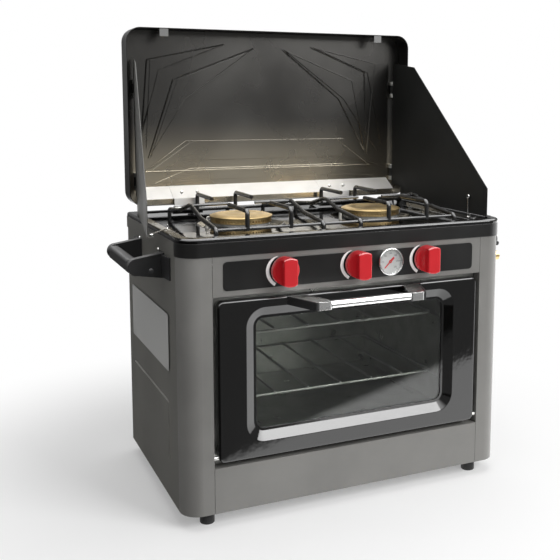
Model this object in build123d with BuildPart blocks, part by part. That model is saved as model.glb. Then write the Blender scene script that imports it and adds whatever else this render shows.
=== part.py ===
from build123d import *
import math
import os

# Cabinet: overall size, in millimetres
body_width = 540.0
body_depth = 330.0
sheet = 1.0
seam = 0.5
corner_radius = 28.0
back_corner_radius = 4.0
post_face_width = 45.0
post_side_depth = 30.0
post_return = 16.0
panel_flange = 14.0

# Cabinet: heights of the front, from the floor upwards
foot_height = 22.0
kick_height = 68.0
door_reveal = 7.0
door_height = 237.5
control_height = 58.0
band_height = 20.0
band_proud = 1.5
rail_gap = 1.5
rim_height = 7.0

# Pressed rectangle in each side panel
emboss_depth = 1.5
emboss_length = 225.0
emboss_height = 96.0
emboss_from_base = 56.0
emboss_behind_middle = 22.5
emboss_taper = 45.0
emboss_corner_radius = 9.0

# Air slots in the back and the base
vent_width = 60.0
vent_height = 4.0
vent_pitch_x = 90.0
vent_pitch_z = 14.0

# Oven cavity
cavity_width = 340.0
cavity_height = 214.0
cavity_above_kick = 18.0
cavity_back_gap = 38.0
flange_behind_front = 17.0
gasket_thickness = 1.7
gasket_width = 8.0
oven_floor_lift = 14.0
runner_depth = 7.0
runner_thickness = 3.0

# Oven racks
rack_wire = 4.0
rack_depth = 242.0
rack_bar_count = 5
rack_side_clearance = 1.0
upper_rack_height = 163.0
lower_rack_height = 64.0

# Oven door
door_proud = 2.0
door_depth = 12.0
door_corner_radius = 9.0
door_edge_radius = 3.0
window_width = 316.0
window_height = 166.0
window_above_door_bottom = 41.0
window_corner_radius = 12.0
window_recess = 8.0
window_slope = 13.5
window_lip = 4.0
window_edge_radius = 1.5
glass_thickness = 4.0
glass_overlap = 6.0
door_inner_back = 5.0
door_hinge_rise = 7.0
door_hinge_depth = 7.0
door_pin_radius = 3.0
door_pin_length = 16.0
pin_clearance = 0.05

# Door handle
handle_reach = 48.0
handle_bar_radius = 5.5
handle_half_length = 90.0
handle_arm_width = 25.0
handle_arm_height = 12.0
handle_arm_root = 31.0
handle_arm_lean = 22.5
handle_cap = 3.0
handle_below_door_top = 6.8

# Controls
control_axis_below_top = 26.0
knob_spacing = 119.0
knob_middle_x = 1.5
knob_radius = 21.0
knob_skirt = 7.0
knob_depth = 25.0
knob_grip_width = 20.0
knob_gap = 4.0
knob_bore_depth = 18.0
fascia_width = 418.0
fascia_height = 42.0
fascia_thickness = 1.0
fascia_corner_radius = 6.0
stem_radius = 3.0
stem_hole_radius = 5.0
valve_width = 20.0
valve_length = 28.0
valve_neck_radius = 7.0
valve_neck_bore_depth = 16.0
valve_behind_panel = 18.0
jet_radius = 3.5
jet_length = 10.0

# Oven thermometer
thermometer_x = 57.0
thermometer_rise = -0.5
thermometer_radius = 21.0
thermometer_depth = 8.0
thermometer_hole_radius = 15.0
dial_recess = 3.0
needle_length = 14.0
needle_width = 1.6
needle_thickness = 0.6
needle_hub_radius = 2.6
needle_gap = 0.3
lens_thickness = 0.8
probe_radius = 3.0

# Gas supply
manifold_radius = 6.0
manifold_wall = 1.2
inlet_radius = 7.9
inlet_length = 16.0
inlet_hex_radius = 10.5
inlet_hex_length = 8.0
inlet_bore_radius = 3.0
pipe_radius = 4.0
pipe_bend = 12.0

# Cooktop tray and burners
tray_rim_width = 15.0
tray_floor_below_rim = 9.0
tray_wall_taper = 38.0
tray_inner_corner = 16.0
rim_edge_radius = 3.5
burner_spacing = 238.0
burner_y = 10.0
dish_radius = 72.0
dish_depth = 5.0
dish_slope = 7.0
burner_hole_radius = 20.0
burner_base_radius = 47.0
burner_base_height = 8.0
burner_foot_radius = 26.0
burner_foot_height = 1.5
burner_hub_radius = 17.0
cap_radius = 51.0
cap_height = 13.0
cap_wall_radius = 49.5
cap_lip_height = 5.0
mixer_radius = 10.0
mixer_wall = 1.0
mixer_bend = 18.0
electrode_radius = 2.6
electrode_height = 14.0
electrode_pin_radius = 0.9
electrode_offset = 58.0
electrode_below = 10.0

# Pan support
support_wire = 4.8
support_bar = 6.8
support_back_gap = 15.5
support_outer_x = 204.0
support_inner_x = 32.0
support_wire_height = 11.5
support_bar_low = 13.5
support_bar_middle = 21.0
support_bar_top = 33.5
support_bar_shoulder = 55.0
support_foot_outset = 5.0
prong_offset_x = 35.0
prong_length = 82.0
prong_top = 37.5
side_prong_length = 63.0
support_bend = 6.0
seat_clearance = 0.1

# Lid, standing open
lid_length = 301.0
lid_depth = 42.0
lid_corner_radius = 24.0
lid_edge_radius = 5.0
lid_hinge_inset = 18.0
lid_hinge_rise = 4.0
lid_seat_clearance = 0.5
lid_wall_rise = 6.5
liner_recess = 35.5
liner_clearance = 0.4
liner_slope_height = 19.0
liner_slope_depth = 30.0
lid_hinge_left_x = -166.0
lid_hinge_right_x = 118.0
lid_hinge_width = 54.0
lid_hinge_knuckle = 16.0
lid_hinge_gap = 0.4
liner_slope_width = 488.0
liner_spacer_inset = 5.0
lid_knuckle_radius = 4.0
lid_pin_radius = 2.0

# Pressed panels on the lid's liner: corners as distance from its middle and below its top
panel_relief = 1.5
outer_fan_tip = (85.0, 23.5)
outer_fan_bend = (222.0, 52.0)
outer_fan_toe = (232.0, 205.0)
outer_fan_elbow = (201.0, 69.0)
inner_fan_tip = (29.0, 30.0)
inner_fan_bend = (174.0, 85.0)
inner_fan_toe = (224.0, 220.0)
inner_fan_elbow = (150.0, 118.5)
upper_bay_top = (150.0, 193.5)
upper_bay_toe = (226.0, 245.0)
upper_bay_base = (157.0, 227.0)
lower_bay_top = (155.0, 241.5)
lower_bay_toe = (218.0, 266.0)
lower_bay_base = (158.0, 262.0)

# Lid catches
catch_x = 205.0
catch_width = 15.0
catch_height = 13.0
catch_thickness = 2.5
catch_foot = 9.0

# Windshields
windshield_hinge_x = 252.0
windshield_hinge_step = 2.5
windshield_length = 316.0
windshield_top_length = 82.0
windshield_above_rim = 1.5
windshield_hinge_height = 259.0
windshield_shoulder_height = 249.0
windshield_front_height = 46.0
windshield_splay = 10.2
windshield_knuckle_radius = 3.2
windshield_pin_radius = 1.5
windshield_bracket_height = 30.0
windshield_bracket_inset = 40.0
windshield_ear_height = 7.0
windshield_hinge_gap = 0.4
windshield_edge_gap = 4.5
windshield_lip_notch = 38.0
windshield_notch_rise = 16.0
windshield_foot_length = 14.0
windshield_foot_width = 8.0

# Wire hooks that hang on the windshields
hook_wire = 1.0
hook_pin_radius = 1.5
hook_pin_length = 5.0
hook_right_from_front = 49.0
hook_right_length = 32.0
hook_left_length = 58.0
hook_left_aim = 52.0
hook_tip = 6.0

# Side handles
side_handle_reach = 54.0
side_handle_inset = 87.5
side_handle_z = 376.0
side_handle_base_height = 38.0
side_handle_end_height = 25.0
side_handle_arm = 13.0
side_handle_grip_height = 21.0
side_handle_grip_depth = 17.0
side_handle_flange = 34.0
side_handle_flange_depth = 5.0
side_handle_flange_edge = 2.0

# Feet and oven burner
foot_radius = 11.0
foot_x = 229.0
foot_from_edge = 26.0
oven_burner_radius = 9.0
oven_burner_length = 190.0
oven_burner_above_base = 26.0

# Faces and heights that follow from the sizes above
front_y = -body_depth / 2
back_y = body_depth / 2
side_x = body_width / 2
seam_x = side_x - post_face_width
seam_y = front_y + post_side_depth
base_z = foot_height
kick_top = base_z + kick_height
door_bottom = kick_top + door_reveal
door_top = door_bottom + door_height
door_middle = (door_bottom + door_top) / 2
door_half_width = seam_x - door_reveal
control_bottom = door_top + door_reveal
band_bottom = control_bottom + control_height
band_top = band_bottom + band_height
rim_top = band_top + rim_height
control_z = band_bottom - control_axis_below_top
flange_y = front_y + flange_behind_front
door_front_y = front_y - door_proud
door_hinge_y = door_front_y + door_hinge_depth
door_hinge_z = door_bottom + door_hinge_rise
cavity_bottom = kick_top + cavity_above_kick
cavity_top = cavity_bottom + cavity_height
cavity_back = back_y - cavity_back_gap
tray_floor = rim_top - tray_floor_below_rim
dish_floor = tray_floor - dish_depth
hinge_y = back_y - lid_hinge_inset
hinge_z = rim_top + lid_hinge_rise
lid_front_y = hinge_y - lid_hinge_rise + lid_seat_clearance
lid_back_y = lid_front_y + lid_depth
lid_bottom = hinge_z + lid_wall_rise
lid_top = lid_bottom + lid_length
lid_middle = (lid_bottom + lid_top) / 2
liner_y = lid_front_y + liner_recess
whole_front_y = front_y - door_proud - handle_reach - handle_bar_radius
origin_shift = -(whole_front_y + lid_back_y) / 2

os.makedirs("parts", exist_ok=True)


def front_plane(y):
    """Plane at depth y that looks out of the front: sketch x is X, sketch y is Z."""
    return Plane.XZ.offset(-y)


def side_plane(x):
    """Plane at x with its normal along +X: sketch x is Y, sketch y is Z."""
    return Plane.YZ.offset(x)


def save(builder, name):
    """Write a finished piece, moved so that the origin is under the middle of the whole."""
    placed = builder.part.moved(Location((0, origin_shift, 0)))
    placed.label = name
    export_step(placed, f"parts/{name}.step")


def mirror_piece(builder):
    """The same piece for the other side of the cabinet."""
    with BuildPart() as twin:
        mirror(builder.part, about=Plane.YZ)
    return twin


def bent_rod(points, bend_radius, rod_radius):
    """A round rod or wire along straight runs joined by arcs."""
    with BuildPart() as rod:
        with BuildLine() as path:
            FilletPolyline(*points, radius=bend_radius)
        with BuildSketch(Plane(origin=path.line @ 0, z_dir=path.line % 0)):
            Circle(rod_radius)
        sweep()
    return rod.part


def straight_rod(start, end, rod_radius):
    """A straight round rod between two points."""
    with BuildPart() as rod:
        with BuildLine() as path:
            Line(start, end)
        with BuildSketch(Plane(origin=path.line @ 0, z_dir=path.line % 0)):
            Circle(rod_radius)
        sweep()
    return rod.part


def body_outline(grow):
    """Plan shape of the cabinet, grown outwards, round at its two front corners."""
    with BuildSketch() as plan:
        Rectangle(body_width + 2 * grow, body_depth + 2 * grow)
        fillet(plan.vertices().group_by(Axis.Y)[0], corner_radius + grow)
        fillet(plan.vertices().group_by(Axis.Y)[-1], back_corner_radius + grow)
    return plan.sketch


body_plan = body_outline(0)
band_plan = body_outline(band_proud)

# Side panel: a sheet bent in at top and bottom, with a pressed rectangle
left_face = Plane(origin=(-side_x, 0, 0), x_dir=(0, -1, 0), z_dir=(-1, 0, 0))
emboss_centre = (-emboss_behind_middle, base_z + emboss_from_base + emboss_height / 2)
with BuildPart() as side_panel_left:
    with BuildSketch(front_plane(back_y)):
        with Locations((-side_x, base_z)):
            Rectangle(panel_flange, band_top - base_z, align=(Align.MIN, Align.MIN))
        with Locations((-side_x + sheet, base_z + sheet)):
            Rectangle(
                panel_flange, band_top - base_z - 2 * sheet,
                align=(Align.MIN, Align.MIN), mode=Mode.SUBTRACT,
            )
    extrude(amount=back_y - seam_y - seam)
    with BuildSketch(left_face):
        with Locations(emboss_centre):
            RectangleRounded(emboss_length, emboss_height, emboss_corner_radius)
    extrude(amount=emboss_depth, taper=emboss_taper)
    with BuildSketch(left_face.offset(-sheet)):
        with Locations(emboss_centre):
            RectangleRounded(emboss_length, emboss_height, emboss_corner_radius)
    extrude(amount=emboss_depth, taper=emboss_taper, mode=Mode.SUBTRACT)
side_panel_right = mirror_piece(side_panel_left)

# Gas inlet line: behind the control panel, out through the right side
manifold_y = seam_y + inlet_hex_radius + 4 * sheet
valve_front = front_y + sheet + valve_behind_panel
manifold_z = control_z - valve_width / 2 - manifold_radius
with BuildPart() as side_panel_right_cut:
    add(side_panel_right.part)
    with BuildSketch(side_plane(side_x - panel_flange)):
        with Locations((manifold_y, manifold_z)):
            Circle(inlet_hex_radius)
    extrude(amount=2 * panel_flange, mode=Mode.SUBTRACT)
save(side_panel_left, "side_panel_left")
save(side_panel_right_cut, "side_panel_right")

# Corner post: an open channel with the cabinet's round front corner
with BuildPart() as corner_post_left:
    with BuildSketch(Plane.XY.offset(base_z)) as post_plan:
        with Locations((-side_x, front_y)):
            Rectangle(post_face_width, post_side_depth, align=(Align.MIN, Align.MIN))
        corner = post_plan.vertices().group_by(Axis.X)[0].sort_by(Axis.Y)[0]
        fillet(corner, corner_radius)
        offset(amount=-sheet, mode=Mode.SUBTRACT)
        with Locations((-side_x + post_return, seam_y)):
            Rectangle(
                post_face_width, post_side_depth - post_return,
                align=(Align.MIN, Align.MAX), mode=Mode.SUBTRACT,
            )
    extrude(amount=band_top - base_z)
    with BuildSketch(Plane.XY.offset(base_z)) as post_foot:
        with Locations((-side_x, front_y)):
            Rectangle(post_face_width, post_side_depth, align=(Align.MIN, Align.MIN))
        corner = post_foot.vertices().group_by(Axis.X)[0].sort_by(Axis.Y)[0]
        fillet(corner, corner_radius)
    extrude(amount=sheet)
    with BuildSketch(side_plane(-seam_x - post_face_width / 2)):
        with Locations((door_hinge_y, door_hinge_z)):
            Circle(door_pin_radius + pin_clearance)
    extrude(amount=post_face_width, mode=Mode.SUBTRACT)
save(corner_post_left, "corner_post_left")
save(mirror_piece(corner_post_left), "corner_post_right")

# Front strips between the posts: kick panel below, control panel above the door
strip_width = 2 * (seam_x - seam)
with BuildPart() as kick_panel:
    with BuildSketch(side_plane(-strip_width / 2)):
        with Locations((front_y, base_z)):
            Rectangle(flange_behind_front, kick_height, align=(Align.MIN, Align.MIN))
        with Locations((front_y + sheet, base_z + sheet)):
            Rectangle(
                flange_behind_front, kick_height - 2 * sheet,
                align=(Align.MIN, Align.MIN), mode=Mode.SUBTRACT,
            )
    extrude(amount=strip_width)
save(kick_panel, "kick_panel")

knob_xs = [knob_middle_x - knob_spacing, knob_middle_x, knob_middle_x + knob_spacing]
thermometer_z = control_z + thermometer_rise
with BuildPart() as control_panel:
    with BuildSketch(side_plane(-strip_width / 2)):
        with Locations((front_y, control_bottom)):
            Rectangle(flange_behind_front, band_top - control_bottom, align=(Align.MIN, Align.MIN))
        with Locations((front_y + sheet, control_bottom + sheet)):
            Rectangle(
                flange_behind_front, band_top - control_bottom - 2 * sheet,
                align=(Align.MIN, Align.MIN), mode=Mode.SUBTRACT,
            )
    extrude(amount=strip_width)
    with BuildSketch(front_plane(front_y)):
        with Locations(*[(x, control_z) for x in knob_xs]):
            Circle(stem_hole_radius)
        with Locations((thermometer_x, thermometer_z)):
            Circle(thermometer_hole_radius)
    extrude(amount=-sheet, mode=Mode.SUBTRACT)
save(control_panel, "control_panel")

fascia_front_y = front_y - fascia_thickness
fascia_z = band_bottom - (control_height - fascia_height) / 2
with BuildPart() as control_fascia:
    with BuildSketch(front_plane(front_y)):
        with Locations((0, fascia_z - fascia_height / 2)):
            RectangleRounded(fascia_width, fascia_height, fascia_corner_radius)
        with Locations(*[(x, control_z) for x in knob_xs]):
            Circle(stem_hole_radius, mode=Mode.SUBTRACT)
        with Locations((thermometer_x, thermometer_z)):
            Circle(thermometer_hole_radius, mode=Mode.SUBTRACT)
    extrude(amount=fascia_thickness)
save(control_fascia, "control_fascia")

# Band round the top of the front, and the two strips that carry it on along the sides
with BuildPart() as front_band:
    with BuildSketch(Plane.XY.offset(band_bottom)):
        add(band_plan)
        add(body_plan, mode=Mode.SUBTRACT)
        with Locations((0, seam_y)):
            Rectangle(2 * body_width, 2 * body_depth, align=(Align.CENTER, Align.MIN), mode=Mode.SUBTRACT)
    extrude(amount=band_height)
save(front_band, "front_band")

with BuildPart() as side_rails:
    with BuildSketch(Plane.XY.offset(band_bottom + rail_gap)):
        for side in (-1, 1):
            with Locations((side * (side_x + band_proud / 2), (seam_y + seam + back_y) / 2)):
                Rectangle(band_proud, back_y - seam_y - seam)
    extrude(amount=band_height - rail_gap)
save(side_rails, "side_rails")

# Back panel with louvred air slots, and base panel with air slots
with BuildPart() as back_panel:
    with BuildSketch(front_plane(back_y)):
        with Locations((0, (base_z + band_top) / 2)):
            Rectangle(body_width - 2 * sheet, band_top - base_z - 2 * sheet)
        with Locations((0, cavity_top - vent_pitch_z)):
            with GridLocations(vent_pitch_x, vent_pitch_z, 4, 3):
                SlotOverall(vent_width, vent_height, mode=Mode.SUBTRACT)
        with Locations((0, cavity_bottom + vent_pitch_z)):
            with GridLocations(vent_pitch_x, vent_pitch_z, 4, 3):
                SlotOverall(vent_width, vent_height, mode=Mode.SUBTRACT)
    extrude(amount=sheet)
save(back_panel, "back_panel")

with BuildPart() as base_panel:
    with BuildSketch(Plane.XY.offset(base_z + sheet)):
        add(offset(body_plan, amount=-sheet, mode=Mode.PRIVATE))
        with Locations((0, front_y)):
            Rectangle(2 * seam_x, 2 * flange_behind_front, mode=Mode.SUBTRACT)
        with GridLocations(body_width, 0, 2, 1):
            with Locations((0, front_y)):
                Rectangle(
                    2 * post_face_width + 2 * seam, 2 * post_side_depth + 2 * seam,
                    mode=Mode.SUBTRACT,
                )
        with GridLocations(vent_pitch_x, vent_pitch_x, 3, 2):
            SlotOverall(vent_width, vent_height, mode=Mode.SUBTRACT)
    extrude(amount=sheet)
save(base_panel, "base_panel")

# Oven liner: a sheet box open at the front, with a flange that frames the door opening
with BuildPart() as oven_liner:
    with BuildSketch(front_plane(cavity_back)):
        with Locations((0, (cavity_bottom + cavity_top) / 2)):
            Rectangle(cavity_width + 2 * sheet, cavity_height + 2 * sheet)
    extrude(amount=cavity_back - flange_y)
    with BuildSketch(front_plane(flange_y + sheet)):
        with Locations((0, (kick_top + control_bottom) / 2)):
            Rectangle(2 * seam_x, control_bottom - kick_top)
    extrude(amount=sheet)
    with BuildSketch(front_plane(cavity_back - sheet)):
        with Locations((0, (cavity_bottom + cavity_top) / 2)):
            Rectangle(cavity_width, cavity_height)
    extrude(amount=cavity_back - flange_y, mode=Mode.SUBTRACT)
save(oven_liner, "oven_liner")

with BuildPart() as oven_gasket:
    with BuildSketch(front_plane(flange_y)):
        with Locations((0, (cavity_bottom + cavity_top) / 2)):
            RectangleRounded(
                cavity_width + 2 * gasket_width, cavity_height + 2 * gasket_width,
                window_corner_radius + gasket_width,
            )
            RectangleRounded(cavity_width, cavity_height, window_corner_radius, mode=Mode.SUBTRACT)
    extrude(amount=gasket_thickness)
save(oven_gasket, "oven_gasket")

floor_length = cavity_back - flange_y - 2 * rack_side_clearance
with BuildPart() as oven_floor:
    with BuildSketch(Plane.XY.offset(cavity_bottom)):
        with Locations((0, (flange_y + cavity_back) / 2)):
            Rectangle(cavity_width - 2 * rack_side_clearance, floor_length - 2 * sheet)
    extrude(amount=oven_floor_lift)
    with BuildSketch(Plane.XY.offset(cavity_bottom)):
        with Locations((0, (flange_y + cavity_back) / 2)):
            Rectangle(
                cavity_width - 2 * rack_side_clearance - 2 * sheet,
                floor_length - 4 * sheet,
            )
    extrude(amount=oven_floor_lift - sheet, mode=Mode.SUBTRACT)
    with BuildSketch(Plane.XY.offset(cavity_bottom)):
        with Locations((0, (flange_y + cavity_back) / 2)):
            with GridLocations(cavity_width - 4 * runner_depth, 0, 2, 1):
                SlotOverall(floor_length / 2, vent_height, rotation=90)
    extrude(amount=oven_floor_lift, mode=Mode.SUBTRACT)
save(oven_floor, "oven_floor")

# Rack runners: a folded ledge on each side wall for each rack
rack_radius = rack_wire / 2
rack_zs = [lower_rack_height + cavity_bottom, upper_rack_height + cavity_bottom]
runner_length = cavity_back - flange_y - 4 * sheet
with BuildPart() as rack_runners:
    for z in rack_zs:
        for side in (-1, 1):
            with BuildSketch(front_plane(cavity_back - 2 * sheet)):
                with Locations((side * cavity_width / 2, z - rack_radius)):
                    Rectangle(
                        2 * runner_depth, runner_thickness,
                        align=(Align.CENTER, Align.MAX),
                    )
                with Locations((side * cavity_width, z - rack_radius)):
                    Rectangle(
                        cavity_width, 2 * runner_thickness,
                        align=(Align.CENTER, Align.CENTER), mode=Mode.SUBTRACT,
                    )
            extrude(amount=runner_length)
save(rack_runners, "rack_runners")


def make_rack(z):
    """Wire rack: a round-cornered frame with bars from front to back."""
    half_width = cavity_width / 2 - rack_side_clearance - rack_radius
    rack_back = cavity_back - sheet - rack_side_clearance
    rack_front = rack_back - rack_depth
    frame_points = [
        (half_width, rack_front + rack_radius, z),
        (half_width, rack_back - rack_radius, z),
        (-half_width, rack_back - rack_radius, z),
        (-half_width, rack_front + rack_radius, z),
    ]
    with BuildPart() as frame_wire:
        with BuildLine() as path:
            FilletPolyline(*frame_points, radius=3 * rack_wire, close=True)
        with BuildSketch(Plane(origin=path.line @ 0, z_dir=path.line % 0)):
            Circle(rack_radius)
        sweep()
    bar_pitch = 2 * half_width / (rack_bar_count + 1)
    bars = []
    for number in range(rack_bar_count):
        x = -half_width + (number + 1) * bar_pitch
        start = (x, rack_front + rack_radius, z + rack_radius)
        end = (x, rack_back - rack_radius, z + rack_radius)
        bars.append(straight_rod(start, end, rack_radius))
    with BuildPart() as rack:
        add(frame_wire.part)
        add(bars)
    return rack


save(make_rack(rack_zs[1]), "rack_upper")
save(make_rack(rack_zs[0]), "rack_lower")

# Cooktop tray: one pressed sheet with a raised rim, a sunk floor and a dish at each burner
burner_xs = [-burner_spacing / 2, burner_spacing / 2]
tray_width = body_width + 2 * band_proud
tray_depth = body_depth + 2 * band_proud
basin_width = tray_width - 2 * tray_rim_width
basin_depth = tray_depth - 2 * tray_rim_width
with BuildPart() as cooktop_tray:
    with BuildSketch(Plane.XY.offset(band_top)):
        add(band_plan)
    extrude(amount=rim_height)
    fillet(cooktop_tray.faces().sort_by(Axis.Z)[-1].edges(), rim_edge_radius)
    with BuildSketch(Plane.XY.offset(band_top)):
        add(offset(band_plan, amount=-sheet, mode=Mode.PRIVATE))
    extrude(amount=rim_height - rim_edge_radius, mode=Mode.SUBTRACT)
    with BuildSketch(Plane.XY.offset(band_top)):
        add(offset(band_plan, amount=-sheet - rim_edge_radius, mode=Mode.PRIVATE))
    extrude(amount=rim_height - sheet, mode=Mode.SUBTRACT)
    with BuildSketch(Plane.XY.offset(rim_top - sheet)):
        RectangleRounded(basin_width + 2 * sheet, basin_depth + 2 * sheet, tray_inner_corner)
    extrude(amount=-tray_floor_below_rim, taper=tray_wall_taper)
    for x in burner_xs:
        with Locations((x, burner_y, tray_floor - sheet)):
            Cone(
                dish_radius - dish_slope, dish_radius, dish_depth,
                align=(Align.CENTER, Align.CENTER, Align.MAX),
            )
    with BuildSketch(Plane.XY.offset(rim_top)):
        RectangleRounded(basin_width, basin_depth, tray_inner_corner)
    extrude(amount=-tray_floor_below_rim, taper=tray_wall_taper, mode=Mode.SUBTRACT)
    for x in burner_xs:
        with Locations((x, burner_y, tray_floor)):
            Cone(
                dish_radius - dish_slope, dish_radius, dish_depth,
                align=(Align.CENTER, Align.CENTER, Align.MAX), mode=Mode.SUBTRACT,
            )
        with Locations((x, burner_y, dish_floor)):
            Cylinder(burner_hole_radius, 4 * sheet, mode=Mode.SUBTRACT)
        with Locations((x - electrode_offset, burner_y, dish_floor)):
            Cylinder(electrode_radius, 4 * sheet, mode=Mode.SUBTRACT)
save(cooktop_tray, "cooktop_tray")

# Burners: an aluminium base through the tray and a brass cap on top of it
base_top = dish_floor + burner_foot_height + burner_base_height
cap_top = base_top + cap_height
mixer_top = dish_floor - 3 * sheet
with BuildPart() as burner_bases:
    for x in burner_xs:
        with BuildSketch(Plane.XZ.offset(-burner_y)):
            with Locations((x, 0)):
                Polygon(
                    (mixer_radius, mixer_top), (burner_hub_radius, mixer_top),
                    (burner_hub_radius, dish_floor), (burner_foot_radius, dish_floor),
                    (burner_foot_radius, dish_floor + burner_foot_height),
                    (burner_base_radius - burner_base_height / 2, dish_floor + burner_foot_height),
                    (burner_base_radius, base_top - burner_base_height / 2),
                    (burner_base_radius, base_top), (mixer_radius, base_top),
                    align=None,
                )
        revolve(axis=Axis((x, burner_y, 0), (0, 0, 1)))
save(burner_bases, "burner_bases")


def make_cap(x):
    """Brass burner cap: a shallow cup turned over, with a lip above its ported wall."""
    with BuildPart() as cap:
        with BuildSketch(Plane.XZ.offset(-burner_y)):
            with Locations((x, 0)):
                Polygon(
                    (0, cap_top), (cap_radius - 2 * cap_lip_height, cap_top),
                    (cap_radius, cap_top - cap_lip_height / 2),
                    (cap_radius, cap_top - cap_lip_height),
                    (cap_wall_radius, cap_top - cap_lip_height), (cap_wall_radius, base_top),
                    (burner_base_radius - cap_lip_height, base_top),
                    (burner_base_radius - cap_lip_height, cap_top - cap_lip_height),
                    (0, cap_top - cap_lip_height),
                    align=None,
                )
        revolve(axis=Axis((x, burner_y, 0), (0, 0, 1)))
    return cap


save(make_cap(burner_xs[0]), "burner_cap_left")
save(make_cap(burner_xs[1]), "burner_cap_right")

# Gas: manifold across the front, a valve at each knob and a mixer tube to each burner
valve_back = valve_front + valve_length
jet_end = valve_back + jet_length
with BuildPart() as gas_manifold:
    with BuildSketch(side_plane(knob_xs[0] - valve_width)):
        with Locations((manifold_y, manifold_z)):
            Circle(manifold_radius)
    extrude(amount=side_x - inlet_hex_length - knob_xs[0] + valve_width)
    with BuildSketch(side_plane(knob_xs[0] - valve_width + manifold_wall)):
        with Locations((manifold_y, manifold_z)):
            Circle(manifold_radius - manifold_wall)
    extrude(amount=side_x - knob_xs[0] + valve_width, mode=Mode.SUBTRACT)
save(gas_manifold, "gas_manifold")

with BuildPart() as gas_inlet:
    with BuildSketch(side_plane(side_x - inlet_hex_length)):
        with Locations((manifold_y, manifold_z)):
            Circle(inlet_hex_radius - seam)
    extrude(amount=inlet_hex_length - 2 * sheet)
    with BuildSketch(side_plane(side_x - 2 * sheet)):
        with Locations((manifold_y, manifold_z)):
            RegularPolygon(inlet_hex_radius - seam, 6)
    extrude(amount=inlet_hex_length)
    with BuildSketch(side_plane(side_x + inlet_hex_length - 2 * sheet)):
        with Locations((manifold_y, manifold_z)):
            Circle(inlet_radius)
    extrude(amount=inlet_length)
    chamfer(gas_inlet.faces().sort_by(Axis.X)[-1].edges(), sheet)
    with BuildSketch(side_plane(side_x - inlet_hex_length)):
        with Locations((manifold_y, manifold_z)):
            Circle(inlet_bore_radius)
    extrude(amount=2 * inlet_hex_length + inlet_length, mode=Mode.SUBTRACT)
save(gas_inlet, "gas_inlet")

with BuildPart() as gas_valves:
    for x in knob_xs:
        with BuildSketch(front_plane(valve_back)):
            with Locations((x, control_z)):
                RectangleRounded(valve_width, valve_width, sheet)
        extrude(amount=valve_length)
        with BuildSketch(front_plane(valve_front)):
            with Locations((x, control_z)):
                Circle(valve_neck_radius)
        extrude(amount=valve_behind_panel)
        with BuildSketch(front_plane(jet_end)):
            with Locations((x, control_z)):
                Circle(jet_radius)
        extrude(amount=jet_length)
        with BuildSketch(front_plane(front_y + sheet)):
            with Locations((x, control_z)):
                Circle(stem_radius + pin_clearance)
        extrude(amount=-valve_neck_bore_depth - valve_neck_radius, mode=Mode.SUBTRACT)
save(gas_valves, "gas_valves")

mixer_start = jet_end - jet_length / 2
mixers = []
for knob_x, burner_x in ((knob_xs[0], burner_xs[0]), (knob_xs[2], burner_xs[1])):
    run = [
        (knob_x, mixer_start, control_z),
        (burner_x, burner_y, control_z),
        (burner_x, burner_y, dish_floor),
    ]
    outer = bent_rod(run, mixer_bend, mixer_radius)
    inner = bent_rod(run, mixer_bend, mixer_radius - mixer_wall)
    mixers.append((outer, inner))
with BuildPart() as mixer_tubes:
    for outer, inner in mixers:
        add(outer)
        add(inner, mode=Mode.SUBTRACT)
save(mixer_tubes, "mixer_tubes")

# Oven burner under the cavity, and the pipe that feeds it from the middle valve
oven_burner_z = base_z + oven_burner_above_base
pipe_back_y = jet_end + 2 * pipe_bend
pipe_front_y = pipe_back_y - 2 * pipe_bend - sheet
burner_front_y = pipe_front_y + 2 * pipe_bend
oven_burner_back = burner_front_y + oven_burner_length
oven_burner_middle = (burner_front_y + oven_burner_back) / 2
pipe_drop_x = -cavity_width / 2 - sheet - 3 * pipe_radius
with BuildPart() as oven_burner:
    with BuildSketch(front_plane(oven_burner_back)):
        with Locations((knob_middle_x, oven_burner_z)):
            Circle(oven_burner_radius)
    extrude(amount=oven_burner_length)
    fillet(oven_burner.edges().filter_by(GeomType.CIRCLE), oven_burner_radius / 3)
    with BuildSketch(Plane.XY.offset(oven_burner_z)):
        with Locations((knob_middle_x, oven_burner_middle)):
            with GridLocations(oven_burner_radius, 3 * oven_burner_radius / 2, 2, 12):
                Circle(sheet)
    extrude(amount=oven_burner_radius, mode=Mode.SUBTRACT)
    with BuildSketch(Plane.XY.offset(base_z + 2 * sheet)):
        with Locations((knob_middle_x, oven_burner_middle)):
            with GridLocations(0, oven_burner_length - 4 * oven_burner_radius, 1, 2):
                Rectangle(2 * oven_burner_radius, 2 * sheet)
    extrude(amount=oven_burner_above_base - 2 * sheet)
save(oven_burner, "oven_burner")

pipe_z = cavity_top + 3 * pipe_radius
pipe_run = [
    (knob_middle_x, jet_end, control_z),
    (knob_middle_x, pipe_back_y, control_z),
    (knob_middle_x, pipe_back_y, pipe_z),
    (pipe_drop_x, pipe_back_y, pipe_z),
    (pipe_drop_x, pipe_back_y, oven_burner_z),
    (pipe_drop_x, pipe_front_y, oven_burner_z),
    (knob_middle_x, pipe_front_y, oven_burner_z),
    (knob_middle_x, burner_front_y, oven_burner_z),
]
with BuildPart() as oven_supply_pipe:
    add(bent_rod(pipe_run, pipe_bend, pipe_radius))
save(oven_supply_pipe, "oven_supply_pipe")

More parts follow.
